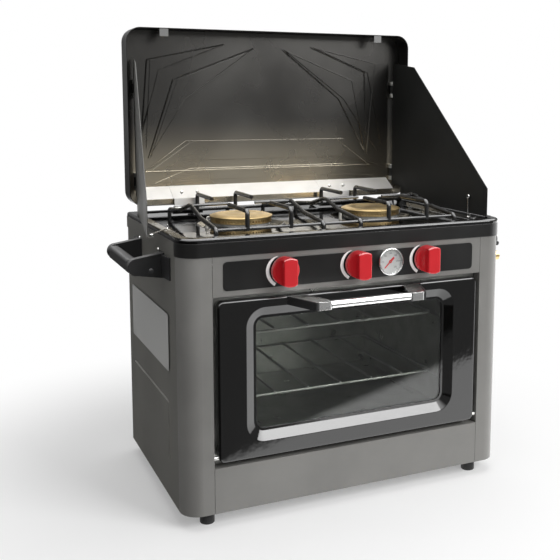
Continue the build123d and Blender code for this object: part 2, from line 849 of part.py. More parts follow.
# Spark electrodes: a ceramic sleeve through the dish at each burner, with its wire tip
with BuildPart() as igniter_electrodes:
    for x in burner_xs:
        with Locations((x - electrode_offset, burner_y, dish_floor - electrode_below)):
            Cylinder(
                electrode_radius, electrode_below + electrode_height,
                align=(Align.CENTER, Align.CENTER, Align.MIN),
            )
        tip_z = dish_floor + electrode_height
        tip_run = [
            (x - electrode_offset, burner_y, tip_z - electrode_radius),
            (x - electrode_offset, burner_y, tip_z + 2 * electrode_radius),
            (x - cap_radius - electrode_radius, burner_y, tip_z + 2 * electrode_radius),
        ]
        add(bent_rod(tip_run, 2 * electrode_pin_radius, electrode_pin_radius))
save(igniter_electrodes, "igniter_electrodes")

# Pan support: bars and prongs welded on two cross wires, one frame that lifts off
wire_radius = support_wire / 2
bar_radius = support_bar / 2
support_back_y = basin_depth / 2 - support_back_gap
support_front_y = 2 * burner_y - support_back_y
support_wire_z = tray_floor + support_wire_height
support_xs = [-support_outer_x, -support_inner_x, support_inner_x, support_outer_x]
bar_runs = []
for x in support_xs:
    bar_runs.append([
        (x, support_front_y - support_foot_outset, tray_floor + seat_clearance),
        (x, support_front_y - support_foot_outset, tray_floor + support_bar_low),
        (x, burner_y - support_bar_shoulder, tray_floor + support_bar_middle),
        (x, burner_y - support_bend, tray_floor + support_bar_top),
        (x, burner_y + support_bend, tray_floor + support_bar_top),
        (x, burner_y + support_bar_shoulder, tray_floor + support_bar_middle),
        (x, support_back_y, tray_floor + support_bar_low),
        (x, support_back_y, tray_floor + seat_clearance),
    ])
prong_runs = []
for burner_x in burner_xs:
    for x in (burner_x - prong_offset_x, burner_x + prong_offset_x):
        for edge_y, inward in ((support_front_y, 1), (support_back_y, -1)):
            prong_runs.append([
                (x, edge_y, support_wire_z - bar_radius),
                (x, edge_y, tray_floor + prong_top),
                (x, edge_y + inward * prong_length, tray_floor + prong_top),
            ])
with BuildPart() as pan_support:
    for run in bar_runs + prong_runs:
        add(bent_rod(run, support_bend, bar_radius))
    for y in (support_front_y, support_back_y):
        start = (-support_outer_x, y, support_wire_z)
        add(straight_rod(start, (support_outer_x, y, support_wire_z), wire_radius))
    for x in support_xs:
        towards_burner = -1 if x in (-support_inner_x, support_outer_x) else 1
        start = (x, burner_y, tray_floor + support_bar_top)
        end = (x + towards_burner * side_prong_length, burner_y, tray_floor + support_bar_top)
        add(straight_rod(start, end, wire_radius))
save(pan_support, "pan_support")

# Oven door: an outer pan with a pressed ring round the window, glass, and an inner pan
door_back_y = door_front_y + door_depth
window_z = door_bottom + window_above_door_bottom + window_height / 2
window_frame = window_slope + window_lip
window_taper = math.degrees(math.atan2(window_slope, window_recess))
glass_front_y = door_front_y + window_recess + sheet
glass_back_y = glass_front_y + glass_thickness
with BuildPart() as door_outer:
    with BuildSketch(front_plane(door_back_y)):
        with Locations((0, door_middle)):
            RectangleRounded(2 * door_half_width, door_height, door_corner_radius)
    extrude(amount=door_depth)
    fillet(door_outer.faces().sort_by(Axis.Y)[0].edges(), door_edge_radius)
    offset(amount=-sheet, openings=door_outer.faces().sort_by(Axis.Y)[-1])
    for grow, deep, mode in (
        (2 * sheet, window_recess + sheet, Mode.ADD), (0, window_recess, Mode.SUBTRACT),
    ):
        with BuildSketch(front_plane(door_front_y)):
            with Locations((0, window_z)):
                RectangleRounded(
                    window_width + 2 * window_frame + 2 * grow,
                    window_height + 2 * window_frame + 2 * grow,
                    window_corner_radius + window_frame + grow,
                )
        extrude(amount=-deep, taper=window_taper, mode=mode)
    pressed_edge = door_outer.faces().sort_by(Axis.Y)[0].inner_wires()[0].edges()
    fillet(pressed_edge, window_edge_radius)
    with BuildSketch(front_plane(door_back_y)):
        with Locations((0, window_z)):
            RectangleRounded(window_width, window_height, window_corner_radius)
    extrude(amount=2 * door_depth, mode=Mode.SUBTRACT)
    with BuildSketch(side_plane(-door_half_width)):
        with Locations((door_hinge_y, door_hinge_z)):
            Circle(door_pin_radius)
    extrude(amount=2 * door_half_width, mode=Mode.SUBTRACT)
save(door_outer, "door_outer")

with BuildPart() as door_glass:
    with BuildSketch(front_plane(glass_back_y)):
        with Locations((0, window_z)):
            RectangleRounded(
                window_width + 2 * glass_overlap, window_height + 2 * glass_overlap,
                window_corner_radius + glass_overlap,
            )
    extrude(amount=glass_thickness)
save(door_glass, "door_glass")

# The inner pan starts just above the hinge axis, so that it clears the gasket as it swings
inner_back_y = door_back_y + door_inner_back
inner_bottom = door_hinge_z + sheet
inner_top = door_top - sheet
inner_half_width = door_half_width - sheet
with BuildPart() as door_inner:
    with BuildSketch(front_plane(inner_back_y)):
        with Locations((0, (inner_bottom + inner_top) / 2)):
            RectangleRounded(2 * inner_half_width, inner_top - inner_bottom, door_corner_radius - sheet)
    extrude(amount=door_inner_back + sheet)
    with BuildSketch(front_plane(inner_back_y - sheet)):
        with Locations((0, (inner_bottom + inner_top) / 2)):
            RectangleRounded(
                2 * (inner_half_width - sheet), inner_top - inner_bottom - 2 * sheet,
                door_corner_radius - 2 * sheet,
            )
    extrude(amount=door_inner_back, mode=Mode.SUBTRACT)
    with BuildSketch(front_plane(inner_back_y)):
        with Locations((0, window_z)):
            RectangleRounded(
                window_width + 2 * sheet, window_height + 2 * sheet,
                window_corner_radius + sheet,
            )
    extrude(amount=inner_back_y - glass_back_y)
    with BuildSketch(front_plane(inner_back_y)):
        with Locations((0, window_z)):
            RectangleRounded(window_width, window_height, window_corner_radius)
    extrude(amount=inner_back_y - glass_back_y, mode=Mode.SUBTRACT)
save(door_inner, "door_inner")

with BuildPart() as door_pins:
    for side in (-1, 1):
        with BuildSketch(side_plane(side * (seam_x - door_pin_length / 4))):
            with Locations((door_hinge_y, door_hinge_z)):
                Circle(door_pin_radius)
        extrude(amount=door_pin_length / 2, both=True)
save(door_pins, "door_pins")

# Door handle: a chrome bar on two slanting arms, each with a black cheek outside
handle_z = door_top - handle_below_door_top
handle_y = door_front_y - handle_reach
handle_front_y = handle_y - handle_bar_radius
arm_inner_x = handle_half_length - handle_arm_width
arm_outer_x = handle_half_length - handle_cap
with BuildPart() as door_handle_bar:
    with BuildSketch(side_plane(-arm_inner_x)):
        with Locations((handle_y, handle_z)):
            Circle(handle_bar_radius)
    extrude(amount=2 * arm_inner_x)
save(door_handle_bar, "door_handle_bar")

with BuildPart() as door_handle_arm:
    with BuildSketch(Plane.XY.offset(handle_z - handle_arm_height / 2)) as arm_plan:
        Polygon(
            (arm_outer_x + handle_arm_lean, door_front_y),
            (arm_outer_x + handle_arm_lean - handle_arm_root + handle_cap, door_front_y),
            (arm_inner_x, handle_y + handle_bar_radius),
            (arm_inner_x, handle_front_y),
            (arm_outer_x, handle_front_y),
            align=None,
        )
        fillet(arm_plan.vertices().sort_by(Axis.Y)[0:2], handle_cap)
    extrude(amount=handle_arm_height)
with BuildPart() as door_handle_arms:
    add(door_handle_arm.part)
    mirror(about=Plane.YZ)
save(door_handle_arms, "door_handle_arms")

with BuildPart() as door_handle_cap:
    with BuildSketch(Plane.XY.offset(handle_z - handle_arm_height / 2)):
        Polygon(
            (arm_outer_x + handle_arm_lean, door_front_y),
            (handle_half_length + handle_arm_lean, door_front_y),
            (handle_half_length, handle_front_y),
            (arm_outer_x, handle_front_y),
            align=None,
        )
    extrude(amount=handle_arm_height)
with BuildPart() as door_handle_caps:
    add(door_handle_cap.part)
    mirror(about=Plane.YZ)
save(door_handle_caps, "door_handle_caps")

# Knobs on valve stems: the stem slides in the valve when pushed, the knob turns on it
knob_back_y = fascia_front_y - knob_gap
stem_front_y = knob_back_y - knob_bore_depth + seam
stem_back_y = front_y + sheet + valve_neck_bore_depth + seam


def make_stem(x):
    """Round valve stem."""
    with BuildPart() as stem:
        with BuildSketch(front_plane(stem_back_y)):
            with Locations((x, control_z)):
                Circle(stem_radius)
        extrude(amount=stem_back_y - stem_front_y)
    return stem


def make_knob(x):
    """Knob: a round skirt with a grip bar across it, bored for the stem."""
    with BuildPart() as knob:
        with BuildSketch(front_plane(knob_back_y)):
            with Locations((x, control_z)):
                Circle(knob_radius)
        extrude(amount=knob_skirt)
        fillet(knob.faces().sort_by(Axis.Y)[0].edges(), sheet)
        with BuildSketch(front_plane(knob_back_y - sheet)) as grip_plan:
            with Locations((x, control_z)):
                Circle(knob_radius)
                Rectangle(knob_grip_width, 3 * knob_radius, mode=Mode.INTERSECT)
            fillet(grip_plan.vertices(), 2 * sheet)
        extrude(amount=knob_depth - sheet)
        fillet(knob.faces().sort_by(Axis.Y)[0].edges(), 2 * sheet)
        with BuildSketch(front_plane(knob_back_y)):
            with Locations((x, control_z)):
                Circle(stem_radius + pin_clearance)
        extrude(amount=knob_bore_depth, mode=Mode.SUBTRACT)
    return knob


save(make_stem(knob_xs[0]), "valve_stem_left")
save(make_stem(knob_xs[1]), "valve_stem_middle")
save(make_stem(knob_xs[2]), "valve_stem_right")
save(make_knob(knob_xs[0]), "knob_left")
save(make_knob(knob_xs[1]), "knob_middle")
save(make_knob(knob_xs[2]), "knob_right")

# Oven thermometer: a bezel with a sunk dial, its needle on a pivot, and a lens
dial_radius = thermometer_radius - 2 * sheet
bezel_front_y = fascia_front_y - thermometer_depth
lens_back_y = bezel_front_y + seam + lens_thickness
dial_y = lens_back_y + dial_recess
needle_back_y = dial_y - needle_gap
pivot_radius = needle_hub_radius / 3
with BuildPart() as thermometer_case:
    with BuildSketch(front_plane(fascia_front_y)):
        with Locations((thermometer_x, thermometer_z)):
            Circle(thermometer_radius)
    extrude(amount=thermometer_depth)
    fillet(thermometer_case.faces().sort_by(Axis.Y)[0].edges(), sheet)
    with BuildSketch(front_plane(bezel_front_y)):
        with Locations((thermometer_x, thermometer_z)):
            Circle(dial_radius)
    extrude(amount=bezel_front_y - dial_y, mode=Mode.SUBTRACT)
    with BuildSketch(front_plane(front_y + valve_behind_panel)):
        with Locations((thermometer_x, thermometer_z)):
            Circle(probe_radius)
    extrude(amount=valve_behind_panel)
    with BuildSketch(front_plane(front_y + sheet)):
        with Locations((thermometer_x, thermometer_z)):
            Circle(thermometer_hole_radius)
    extrude(amount=sheet + fascia_thickness)
    with BuildSketch(front_plane(dial_y)):
        with Locations((thermometer_x, thermometer_z)):
            Circle(pivot_radius)
    extrude(amount=2 * needle_gap + needle_thickness)
save(thermometer_case, "thermometer_case")

with BuildPart() as thermometer_lens:
    with BuildSketch(front_plane(lens_back_y)):
        with Locations((thermometer_x, thermometer_z)):
            Circle(dial_radius)
    extrude(amount=lens_thickness)
save(thermometer_lens, "thermometer_lens")

with BuildPart() as thermometer_needle:
    with BuildSketch(front_plane(needle_back_y)):
        with Locations((thermometer_x, thermometer_z)):
            Circle(needle_hub_radius)
            with Locations((-needle_length / 3, -needle_length / 3)):
                Rectangle(needle_length, needle_width, rotation=45)
            with Locations((needle_length / 4, needle_length / 4)):
                Rectangle(needle_length / 2, 2 * needle_width, rotation=45)
            Circle(pivot_radius + pin_clearance, mode=Mode.SUBTRACT)
    extrude(amount=needle_thickness)
save(thermometer_needle, "thermometer_needle")

# Lid, standing open: a pressed pan with its opening towards the cooktop
lid_width = body_width
liner_width = lid_width - 2 * sheet - 2 * liner_clearance
liner_height = lid_length - 2 * sheet - 2 * liner_clearance
with BuildPart() as lid_shell:
    with BuildSketch(front_plane(lid_back_y)):
        with Locations((0, lid_middle)):
            RectangleRounded(lid_width, lid_length, lid_corner_radius)
    extrude(amount=lid_depth)
    fillet(lid_shell.faces().sort_by(Axis.Y)[-1].edges(), lid_edge_radius)
    offset(amount=-sheet, openings=lid_shell.faces().sort_by(Axis.Y)[0])
save(lid_shell, "lid_shell")

# Bright liner of the lid, with a sloping lower strip and a spacer frame behind it
liner_back_y = liner_y + sheet
slope_front_y = liner_y - liner_slope_depth
slope_top = lid_bottom + lid_hinge_inset + catch_foot + 2 * sheet
slope_bottom = slope_top - liner_slope_height
with BuildPart() as lid_liner:
    with BuildSketch(front_plane(liner_back_y)):
        with Locations((0, lid_middle)):
            RectangleRounded(liner_width, liner_height, lid_corner_radius - sheet - liner_clearance)
    extrude(amount=sheet)
    with BuildSketch(side_plane(-liner_slope_width / 2)):
        Polygon(
            (liner_y, slope_top), (slope_front_y, slope_bottom),
            (slope_front_y, lid_bottom + sheet), (slope_front_y + sheet, lid_bottom + sheet),
            (slope_front_y + sheet, slope_bottom - sheet), (liner_y, slope_top - 2 * sheet),
            align=None,
        )
    extrude(amount=liner_slope_width)
    with BuildSketch(front_plane(lid_back_y - sheet)):
        with Locations((0, lid_middle)):
            RectangleRounded(
                liner_width - 2 * liner_spacer_inset, liner_height - 2 * liner_spacer_inset,
                lid_corner_radius - liner_spacer_inset,
            )
            RectangleRounded(
                liner_width - 2 * liner_spacer_inset - 2 * sheet,
                liner_height - 2 * liner_spacer_inset - 2 * sheet,
                lid_corner_radius - liner_spacer_inset - sheet, mode=Mode.SUBTRACT,
            )
    extrude(amount=lid_back_y - sheet - liner_back_y)
    with BuildSketch(front_plane(liner_y)):
        for side in (-1, 1):
            for corners in (
                (outer_fan_tip, outer_fan_bend, outer_fan_toe, outer_fan_elbow),
                (inner_fan_tip, inner_fan_bend, inner_fan_toe, inner_fan_elbow),
            ):
                Polygon(*[(side * x, lid_top - drop) for x, drop in corners], align=None)
        for top, toe, base in (
            (upper_bay_top, upper_bay_toe, upper_bay_base),
            (lower_bay_top, lower_bay_toe, lower_bay_base),
        ):
            right_half = [(x, lid_top - drop) for x, drop in (top, toe, base)]
            left_half = [(-x, z) for x, z in reversed(right_half)]
            Polygon(*right_half, *left_half, align=None)
    extrude(amount=panel_relief)
save(lid_liner, "lid_liner")

with BuildPart() as lid_catches:
    with BuildSketch(side_plane(-catch_x)):
        Polygon(
            (lid_front_y + catch_thickness, lid_top - sheet),
            (lid_front_y + catch_thickness + catch_foot, lid_top - sheet),
            (lid_front_y + catch_thickness + catch_foot, lid_top - sheet - catch_thickness),
            (lid_front_y + 2 * catch_thickness, lid_top - sheet - catch_thickness),
            (lid_front_y + 2 * catch_thickness, lid_top - sheet - catch_height),
            (lid_front_y + catch_thickness, lid_top - sheet - catch_height),
            align=None,
        )
    extrude(amount=catch_width / 2, both=True)
    mirror(about=Plane.YZ)
save(lid_catches, "lid_catches")

# Lid hinges: knuckles and pins on the tray's rear bead, straps round the lid's lower edge
hinge_plate_back = tray_depth / 2 - rim_edge_radius
ear_offset = (lid_hinge_width - lid_hinge_knuckle) / 2
strap_knuckle = lid_hinge_width - 2 * lid_hinge_knuckle - 2 * lid_hinge_gap
with BuildPart() as lid_hinge_base:
    for x in (lid_hinge_left_x, lid_hinge_right_x):
        for side in (-1, 1):
            with BuildSketch(side_plane(x + side * ear_offset)):
                with Locations((hinge_y, hinge_z)):
                    Circle(lid_knuckle_radius)
                with Locations((hinge_y, rim_top)):
                    Rectangle(
                        hinge_plate_back - hinge_y, 2 * sheet, align=(Align.MIN, Align.MIN),
                    )
            extrude(amount=lid_hinge_knuckle / 2, both=True)
        with BuildSketch(side_plane(x)):
            with Locations((hinge_y, hinge_z)):
                Circle(lid_pin_radius)
            with Locations((hinge_y + lid_knuckle_radius + sheet, rim_top)):
                Rectangle(
                    hinge_plate_back - hinge_y - lid_knuckle_radius - sheet, sheet,
                    align=(Align.MIN, Align.MIN),
                )
        extrude(amount=lid_hinge_width / 2, both=True)
save(lid_hinge_base, "lid_hinge_base")

with BuildPart() as lid_hinge_straps:
    for x in (lid_hinge_left_x, lid_hinge_right_x):
        with BuildSketch(side_plane(x)):
            Polygon(
                (slope_front_y, slope_bottom + sheet), (liner_y - sheet, slope_top + sheet / 2),
                (liner_y - sheet, slope_top - sheet / 2), (slope_front_y, slope_bottom),
                align=None,
            )
            with Locations((lid_front_y - sheet, lid_bottom)):
                Rectangle(sheet, slope_bottom - lid_bottom + sheet, align=(Align.MIN, Align.MIN))
            with Locations((lid_front_y - sheet, slope_bottom)):
                Rectangle(slope_front_y - lid_front_y + sheet, sheet, align=(Align.MIN, Align.MIN))
            with Locations((lid_front_y - sheet, lid_bottom - sheet)):
                Rectangle(hinge_y - lid_front_y + 3 * sheet, sheet, align=(Align.MIN, Align.MIN))
        extrude(amount=lid_hinge_width / 2, both=True)
        with BuildSketch(side_plane(x)):
            with Locations((hinge_y, hinge_z)):
                Circle(lid_knuckle_radius)
                Rectangle(2 * sheet, lid_bottom - hinge_z, align=(Align.CENTER, Align.MIN))
                Circle(lid_pin_radius + pin_clearance, mode=Mode.SUBTRACT)
        extrude(amount=strap_knuckle / 2, both=True)
save(lid_hinge_straps, "lid_hinge_straps")

# Windshields: tapered sheets on upright pins at the two sides of the lid
windshield_bottom = rim_top + windshield_above_rim
windshield_left_y = liner_y - windshield_knuckle_radius - seam
windshield_right_y = windshield_left_y - windshield_hinge_step
bracket_low_z = lid_bottom + windshield_bracket_inset
bracket_high_z = windshield_bottom + windshield_shoulder_height - windshield_bracket_inset
bracket_zs = (bracket_low_z, bracket_high_z)
ear_shift = (windshield_bracket_height - windshield_ear_height) / 2
shield_knuckle = windshield_bracket_height - 2 * windshield_ear_height - 2 * windshield_hinge_gap
with BuildPart() as windshield_hinges:
    for side, axis_y in ((-1, windshield_left_y), (1, windshield_right_y)):
        for middle_z in bracket_zs:
            with BuildSketch(Plane.XY.offset(middle_z)):
                with Locations((side * windshield_hinge_x, axis_y)):
                    Circle(windshield_pin_radius)
            extrude(amount=windshield_bracket_height / 2, both=True)
            for ear_z in (middle_z - ear_shift, middle_z + ear_shift):
                with BuildSketch(Plane.XY.offset(ear_z)):
                    with Locations((side * windshield_hinge_x, axis_y)):
                        Circle(windshield_knuckle_radius)
                        Rectangle(
                            2 * windshield_pin_radius, liner_y - axis_y,
                            align=(Align.CENTER, Align.MIN),
                        )
                extrude(amount=windshield_ear_height / 2, both=True)
save(windshield_hinges, "windshield_hinges")


def make_windshield(side, axis_y, splay):
    """Tapered sheet on two knuckles, turned out from straight ahead by the splay angle."""
    lean = math.radians(splay)
    ahead = (side * math.sin(lean), -math.cos(lean), 0)
    across = (ahead[1], -ahead[0], 0)
    axis_x = side * windshield_hinge_x
    upright = Plane(origin=(axis_x, axis_y, 0), x_dir=ahead, z_dir=across)
    level = Plane(origin=(axis_x, axis_y, windshield_bottom), x_dir=ahead, z_dir=(0, 0, 1))
    with BuildPart() as shield:
        with BuildSketch(upright):
            Polygon(
                (windshield_edge_gap, lid_bottom + windshield_notch_rise),
                (windshield_lip_notch, lid_bottom + windshield_notch_rise),
                (windshield_lip_notch, windshield_bottom),
                (windshield_length, windshield_bottom),
                (windshield_length, windshield_bottom + windshield_front_height),
                (windshield_top_length, windshield_bottom + windshield_shoulder_height),
                (windshield_edge_gap, windshield_bottom + windshield_hinge_height),
                align=None,
            )
        extrude(amount=sheet / 2, both=True)
        with BuildSketch(level):
            with Locations((windshield_length, 0)):
                Rectangle(
                    windshield_foot_length, windshield_foot_width,
                    align=(Align.MAX, Align.MIN),
                )
        extrude(amount=sheet)
        for middle_z in bracket_zs:
            with BuildSketch(upright):
                with Locations((0, middle_z)):
                    Rectangle(
                        windshield_edge_gap + sheet, shield_knuckle,
                        align=(Align.MIN, Align.CENTER),
                    )
            extrude(amount=sheet / 2, both=True)
            with BuildSketch(Plane(origin=(axis_x, axis_y, middle_z), z_dir=(0, 0, 1))):
                Circle(windshield_knuckle_radius)
            extrude(amount=shield_knuckle / 2, both=True)
            with BuildSketch(Plane(origin=(axis_x, axis_y, middle_z), z_dir=(0, 0, 1))):
                Circle(windshield_pin_radius + pin_clearance)
            extrude(amount=windshield_bracket_height / 2, both=True, mode=Mode.SUBTRACT)
    return shield


# Pin on the right windshield's inner face, and pin standing on the left one's foot
right_pin_y = windshield_right_y - windshield_length + hook_right_from_front
right_pin_z = windshield_bottom + windshield_front_height / 2 + hook_pin_length
right_face_x = windshield_hinge_x - sheet / 2
with BuildPart() as windshield_right:
    add(make_windshield(1, windshield_right_y, 0).part)
    with BuildSketch(side_plane(right_face_x)):
        with Locations((right_pin_y, right_pin_z)):
            Circle(hook_pin_radius)
    extrude(amount=-hook_pin_length)
save(windshield_right, "windshield_right")

lean_left = math.radians(windshield_splay)
left_foot_reach = windshield_length - windshield_foot_length / 2
left_foot_out = windshield_foot_width / 2 + sheet
left_pin_x = -windshield_hinge_x - left_foot_reach * math.sin(lean_left)
left_pin_x += left_foot_out * math.cos(lean_left)
left_pin_y = windshield_left_y - left_foot_reach * math.cos(lean_left)
left_pin_y -= left_foot_out * math.sin(lean_left)
with BuildPart() as windshield_left:
    add(make_windshield(-1, windshield_left_y, windshield_splay).part)
    with BuildSketch(Plane.XY.offset(windshield_bottom)):
        with Locations((left_pin_x, left_pin_y)):
            Circle(hook_pin_radius)
    extrude(amount=sheet + hook_pin_length)
save(windshield_left, "windshield_left")

# Hooks: an eye round the pin, a straight run and a turned tip
eye_radius = hook_pin_radius + pin_clearance + hook_wire
hook_x = right_face_x - hook_pin_length / 2
hook_bottom = right_pin_z - eye_radius - hook_right_length
with BuildPart() as hook_right:
    with Locations(Plane(origin=(hook_x, right_pin_y, right_pin_z), z_dir=(1, 0, 0))):
        Torus(eye_radius, hook_wire)
    hook_run = [
        (hook_x, right_pin_y, right_pin_z - eye_radius),
        (hook_x, right_pin_y, hook_bottom),
        (hook_x, right_pin_y - hook_tip, hook_bottom),
        (hook_x, right_pin_y - hook_tip, hook_bottom + hook_tip),
    ]
    add(bent_rod(hook_run, 2 * hook_wire, hook_wire))
save(hook_right, "hook_right")

hook_z = windshield_bottom + sheet + hook_pin_length / 2
aim = (math.cos(math.radians(hook_left_aim)), math.sin(math.radians(hook_left_aim)))
with BuildPart() as hook_left:
    with Locations((left_pin_x, left_pin_y, hook_z)):
        Torus(eye_radius, hook_wire)
    hook_run = [
        (left_pin_x + aim[0] * eye_radius, left_pin_y + aim[1] * eye_radius, hook_z),
        (left_pin_x + aim[0] * hook_left_length, left_pin_y + aim[1] * hook_left_length, hook_z),
        (
            left_pin_x + aim[0] * hook_left_length,
            left_pin_y + aim[1] * hook_left_length, hook_z + hook_tip,
        ),
    ]
    add(bent_rod(hook_run, 2 * hook_wire, hook_wire))
save(hook_left, "hook_left")

# Side handles: two arms on each side panel with a grip between them
handle_arm_y = body_depth / 2 - side_handle_inset
arm_plane = front_plane(-handle_arm_y + side_handle_arm)
arm_root_x = side_x + side_handle_reach - side_handle_end_height / 2
with BuildPart() as front_arm:
    with BuildSketch(arm_plane):
        Polygon(
            (side_x, side_handle_z - side_handle_base_height / 2),
            (arm_root_x, side_handle_z - side_handle_end_height / 2),
            (arm_root_x, side_handle_z + side_handle_end_height / 2),
            (side_x, side_handle_z + side_handle_base_height / 2),
            align=None,
        )
        with Locations((arm_root_x, side_handle_z)):
            Circle(side_handle_end_height / 2)
    extrude(amount=side_handle_arm)
    with BuildSketch(Plane.XY.offset(side_handle_z)):
        Polygon(
            (side_x, -handle_arm_y - side_handle_flange),
            (side_x + side_handle_flange_edge, -handle_arm_y - side_handle_flange),
            (side_x + side_handle_flange_depth, -handle_arm_y),
            (side_x, -handle_arm_y),
            align=None,
        )
    extrude(amount=(side_handle_base_height - side_handle_flange_depth) / 2, both=True)
with BuildPart() as handle_arms:
    add(front_arm.part)
    mirror(about=Plane.XZ)
    mirror(about=Plane.YZ)
save(handle_arms, "handle_arms")

grip_x = side_x + side_handle_reach - side_handle_grip_depth / 2 - sheet
with BuildPart() as handle_grips:
    with BuildSketch(front_plane(handle_arm_y - side_handle_arm)):
        for side in (-1, 1):
            with Locations((side * grip_x, side_handle_z)):
                RectangleRounded(side_handle_grip_depth, side_handle_grip_height, side_handle_grip_depth / 3)
    extrude(amount=2 * (handle_arm_y - side_handle_arm))
save(handle_grips, "handle_grips")

# Feet: rubber discs, the rear pair reaching up to the base panel
foot_y = body_depth / 2 - foot_from_edge
with BuildPart() as feet:
    for y, top in ((-foot_y, base_z), (foot_y, base_z + sheet)):
        for x in (-foot_x, foot_x):
            with Locations((x, y, 0)):
                Cylinder(foot_radius, top, align=(Align.CENTER, Align.CENTER, Align.MIN))
    chamfer(feet.faces().group_by(Axis.Z)[0].edges(), sheet)
save(feet, "feet")
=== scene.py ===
import math

import bmesh
import bpy
from mathutils import Matrix, Vector


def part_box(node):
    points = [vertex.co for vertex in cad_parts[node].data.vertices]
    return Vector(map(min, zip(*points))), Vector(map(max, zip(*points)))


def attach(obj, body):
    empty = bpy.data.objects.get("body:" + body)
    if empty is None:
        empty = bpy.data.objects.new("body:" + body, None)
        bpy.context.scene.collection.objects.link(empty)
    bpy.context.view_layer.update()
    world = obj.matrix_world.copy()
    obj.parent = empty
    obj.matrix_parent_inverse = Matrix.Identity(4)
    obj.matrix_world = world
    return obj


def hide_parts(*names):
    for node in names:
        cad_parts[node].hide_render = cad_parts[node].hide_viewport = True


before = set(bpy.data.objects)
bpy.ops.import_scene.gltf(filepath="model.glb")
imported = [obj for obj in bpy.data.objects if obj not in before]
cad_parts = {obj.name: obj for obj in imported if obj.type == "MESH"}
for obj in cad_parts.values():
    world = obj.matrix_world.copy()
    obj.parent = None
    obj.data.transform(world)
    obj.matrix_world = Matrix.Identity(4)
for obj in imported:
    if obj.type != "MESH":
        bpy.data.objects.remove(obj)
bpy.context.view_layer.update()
scene = bpy.context.scene
scene.view_settings.view_transform = "Standard"

# The camera stands off the front left corner, a little above the middle of the open
# lid, and looks down on the cooktop. The shift sets how the picture is cropped.
tilt_down = 6.98
turn_right = 23.72
lens = bpy.data.cameras.new("product_view")
lens.sensor_width = 36.0
lens.lens = 54.79
lens.shift_x = -0.0361
lens.shift_y = -0.1345
lens.clip_end = 60.0
view = bpy.data.objects.new("product_view", lens)
view.location = (-0.5828, -1.2674, 0.6166)
view.rotation_euler = (math.radians(90.0 - tilt_down), 0.0, math.radians(-turn_right))
scene.collection.objects.link(view)
scene.camera = view

# The studio is a white room with even light that is weaker from the left. Gloss sees
# darker walls and a bright soft box overhead, so that black enamel shows its edges.
room = bpy.data.worlds.new("white_room")
room.use_nodes = True
scene.world = room


def wire(tree, source, output, target, slot):
    """Join one node's output to another node's input."""
    tree.links.new(source.outputs[output], target.inputs[slot])


def ramp(tree, source, output, start, end, low=0.0, high=1.0, soft=False):
    """Turn a value that runs from start to end into one that runs from low to high."""
    made = tree.nodes.new("ShaderNodeMapRange")
    if soft:
        made.interpolation_type = "SMOOTHSTEP"
    for name, number in (("From Min", start), ("From Max", end), ("To Min", low), ("To Max", high)):
        made.inputs[name].default_value = number
    wire(tree, source, output, made, "Value")
    return made


def combine(tree, operation, first, first_output, second, second_output):
    """Work out one value from two, such as their product or the larger one."""
    made = tree.nodes.new("ShaderNodeMath")
    made.operation = operation
    wire(tree, first, first_output, made, 0)
    wire(tree, second, second_output, made, 1)
    return made


def seen_directly(tree, path):
    """One where the eye, a mirror or a pane looks at the surface, nought for plain light."""
    eye_or_mirror = combine(tree, "MAXIMUM", path, "Is Camera Ray", path, "Is Glossy Ray")
    return combine(tree, "MAXIMUM", eye_or_mirror, 0, path, "Is Transmission Ray")


def blend(tree, share, plain, seen, output_kind):
    """Finish a tree with one shader where the share is nought and another where it is one."""
    choice = tree.nodes.new("ShaderNodeMixShader")
    wire(tree, share, 0, choice, 0)
    wire(tree, plain, 0, choice, 1)
    wire(tree, seen, 0, choice, 2)
    wire(tree, choice, 0, tree.nodes.new(output_kind), "Surface")


tree = room.node_tree
tree.nodes.clear()
even_light = tree.nodes.new("ShaderNodeBackground")
white_wall = tree.nodes.new("ShaderNodeBackground")
for light in (even_light, white_wall):
    light.inputs["Color"].default_value = (1.0, 1.0, 1.0, 1.0)
direction = tree.nodes.new("ShaderNodeTexCoord")
heading = tree.nodes.new("ShaderNodeSeparateXYZ")
wire(tree, direction, "Generated", heading, 0)
dim_left = ramp(tree, heading, "X", start=-0.95, end=0.15, low=0.08, high=0.42)
wire(tree, dim_left, "Result", even_light, "Strength")
soft_box = ramp(tree, heading, "Z", start=0.36, end=0.60, low=0.30, high=5.5, soft=True)
path = tree.nodes.new("ShaderNodeLightPath")
wall_level = tree.nodes.new("ShaderNodeMix")
wall_level.inputs["A"].default_value = 1.0
wire(tree, path, "Is Glossy Ray", wall_level, 0)
wire(tree, soft_box, "Result", wall_level, "B")
wire(tree, wall_level, 0, white_wall, "Strength")
blend(tree, seen_directly(tree, path), even_light, white_wall, "ShaderNodeOutputWorld")

# Three soft lamps light the stove: a key lamp at the front right, a weak fill at the
# front left so that the left side stays dark, and a broad one above the cooktop.


def soft_lamp(name, place, aim_height, size, power):
    """Square area lamp that looks at a point on the stove's upright middle line."""
    lamp = bpy.data.lights.new(name, "AREA")
    lamp.shape = "RECTANGLE"
    lamp.size = lamp.size_y = size
    lamp.energy = power
    aim = Vector((0.0, 0.0, aim_height)) - Vector(place)
    holder = bpy.data.objects.new(name, lamp)
    holder.location = place
    holder.rotation_euler = aim.to_track_quat("-Z", "Y").to_euler()
    scene.collection.objects.link(holder)


soft_lamp("key_front_right", (1.5, -2.3, 2.0), aim_height=0.25, size=1.6, power=70.0)
soft_lamp("fill_front_left", (-2.2, -1.9, 1.3), aim_height=0.25, size=1.4, power=4.0)
soft_lamp("top_light", (0.2, 0.1, 2.6), aim_height=0.3, size=2.0, power=26.0)

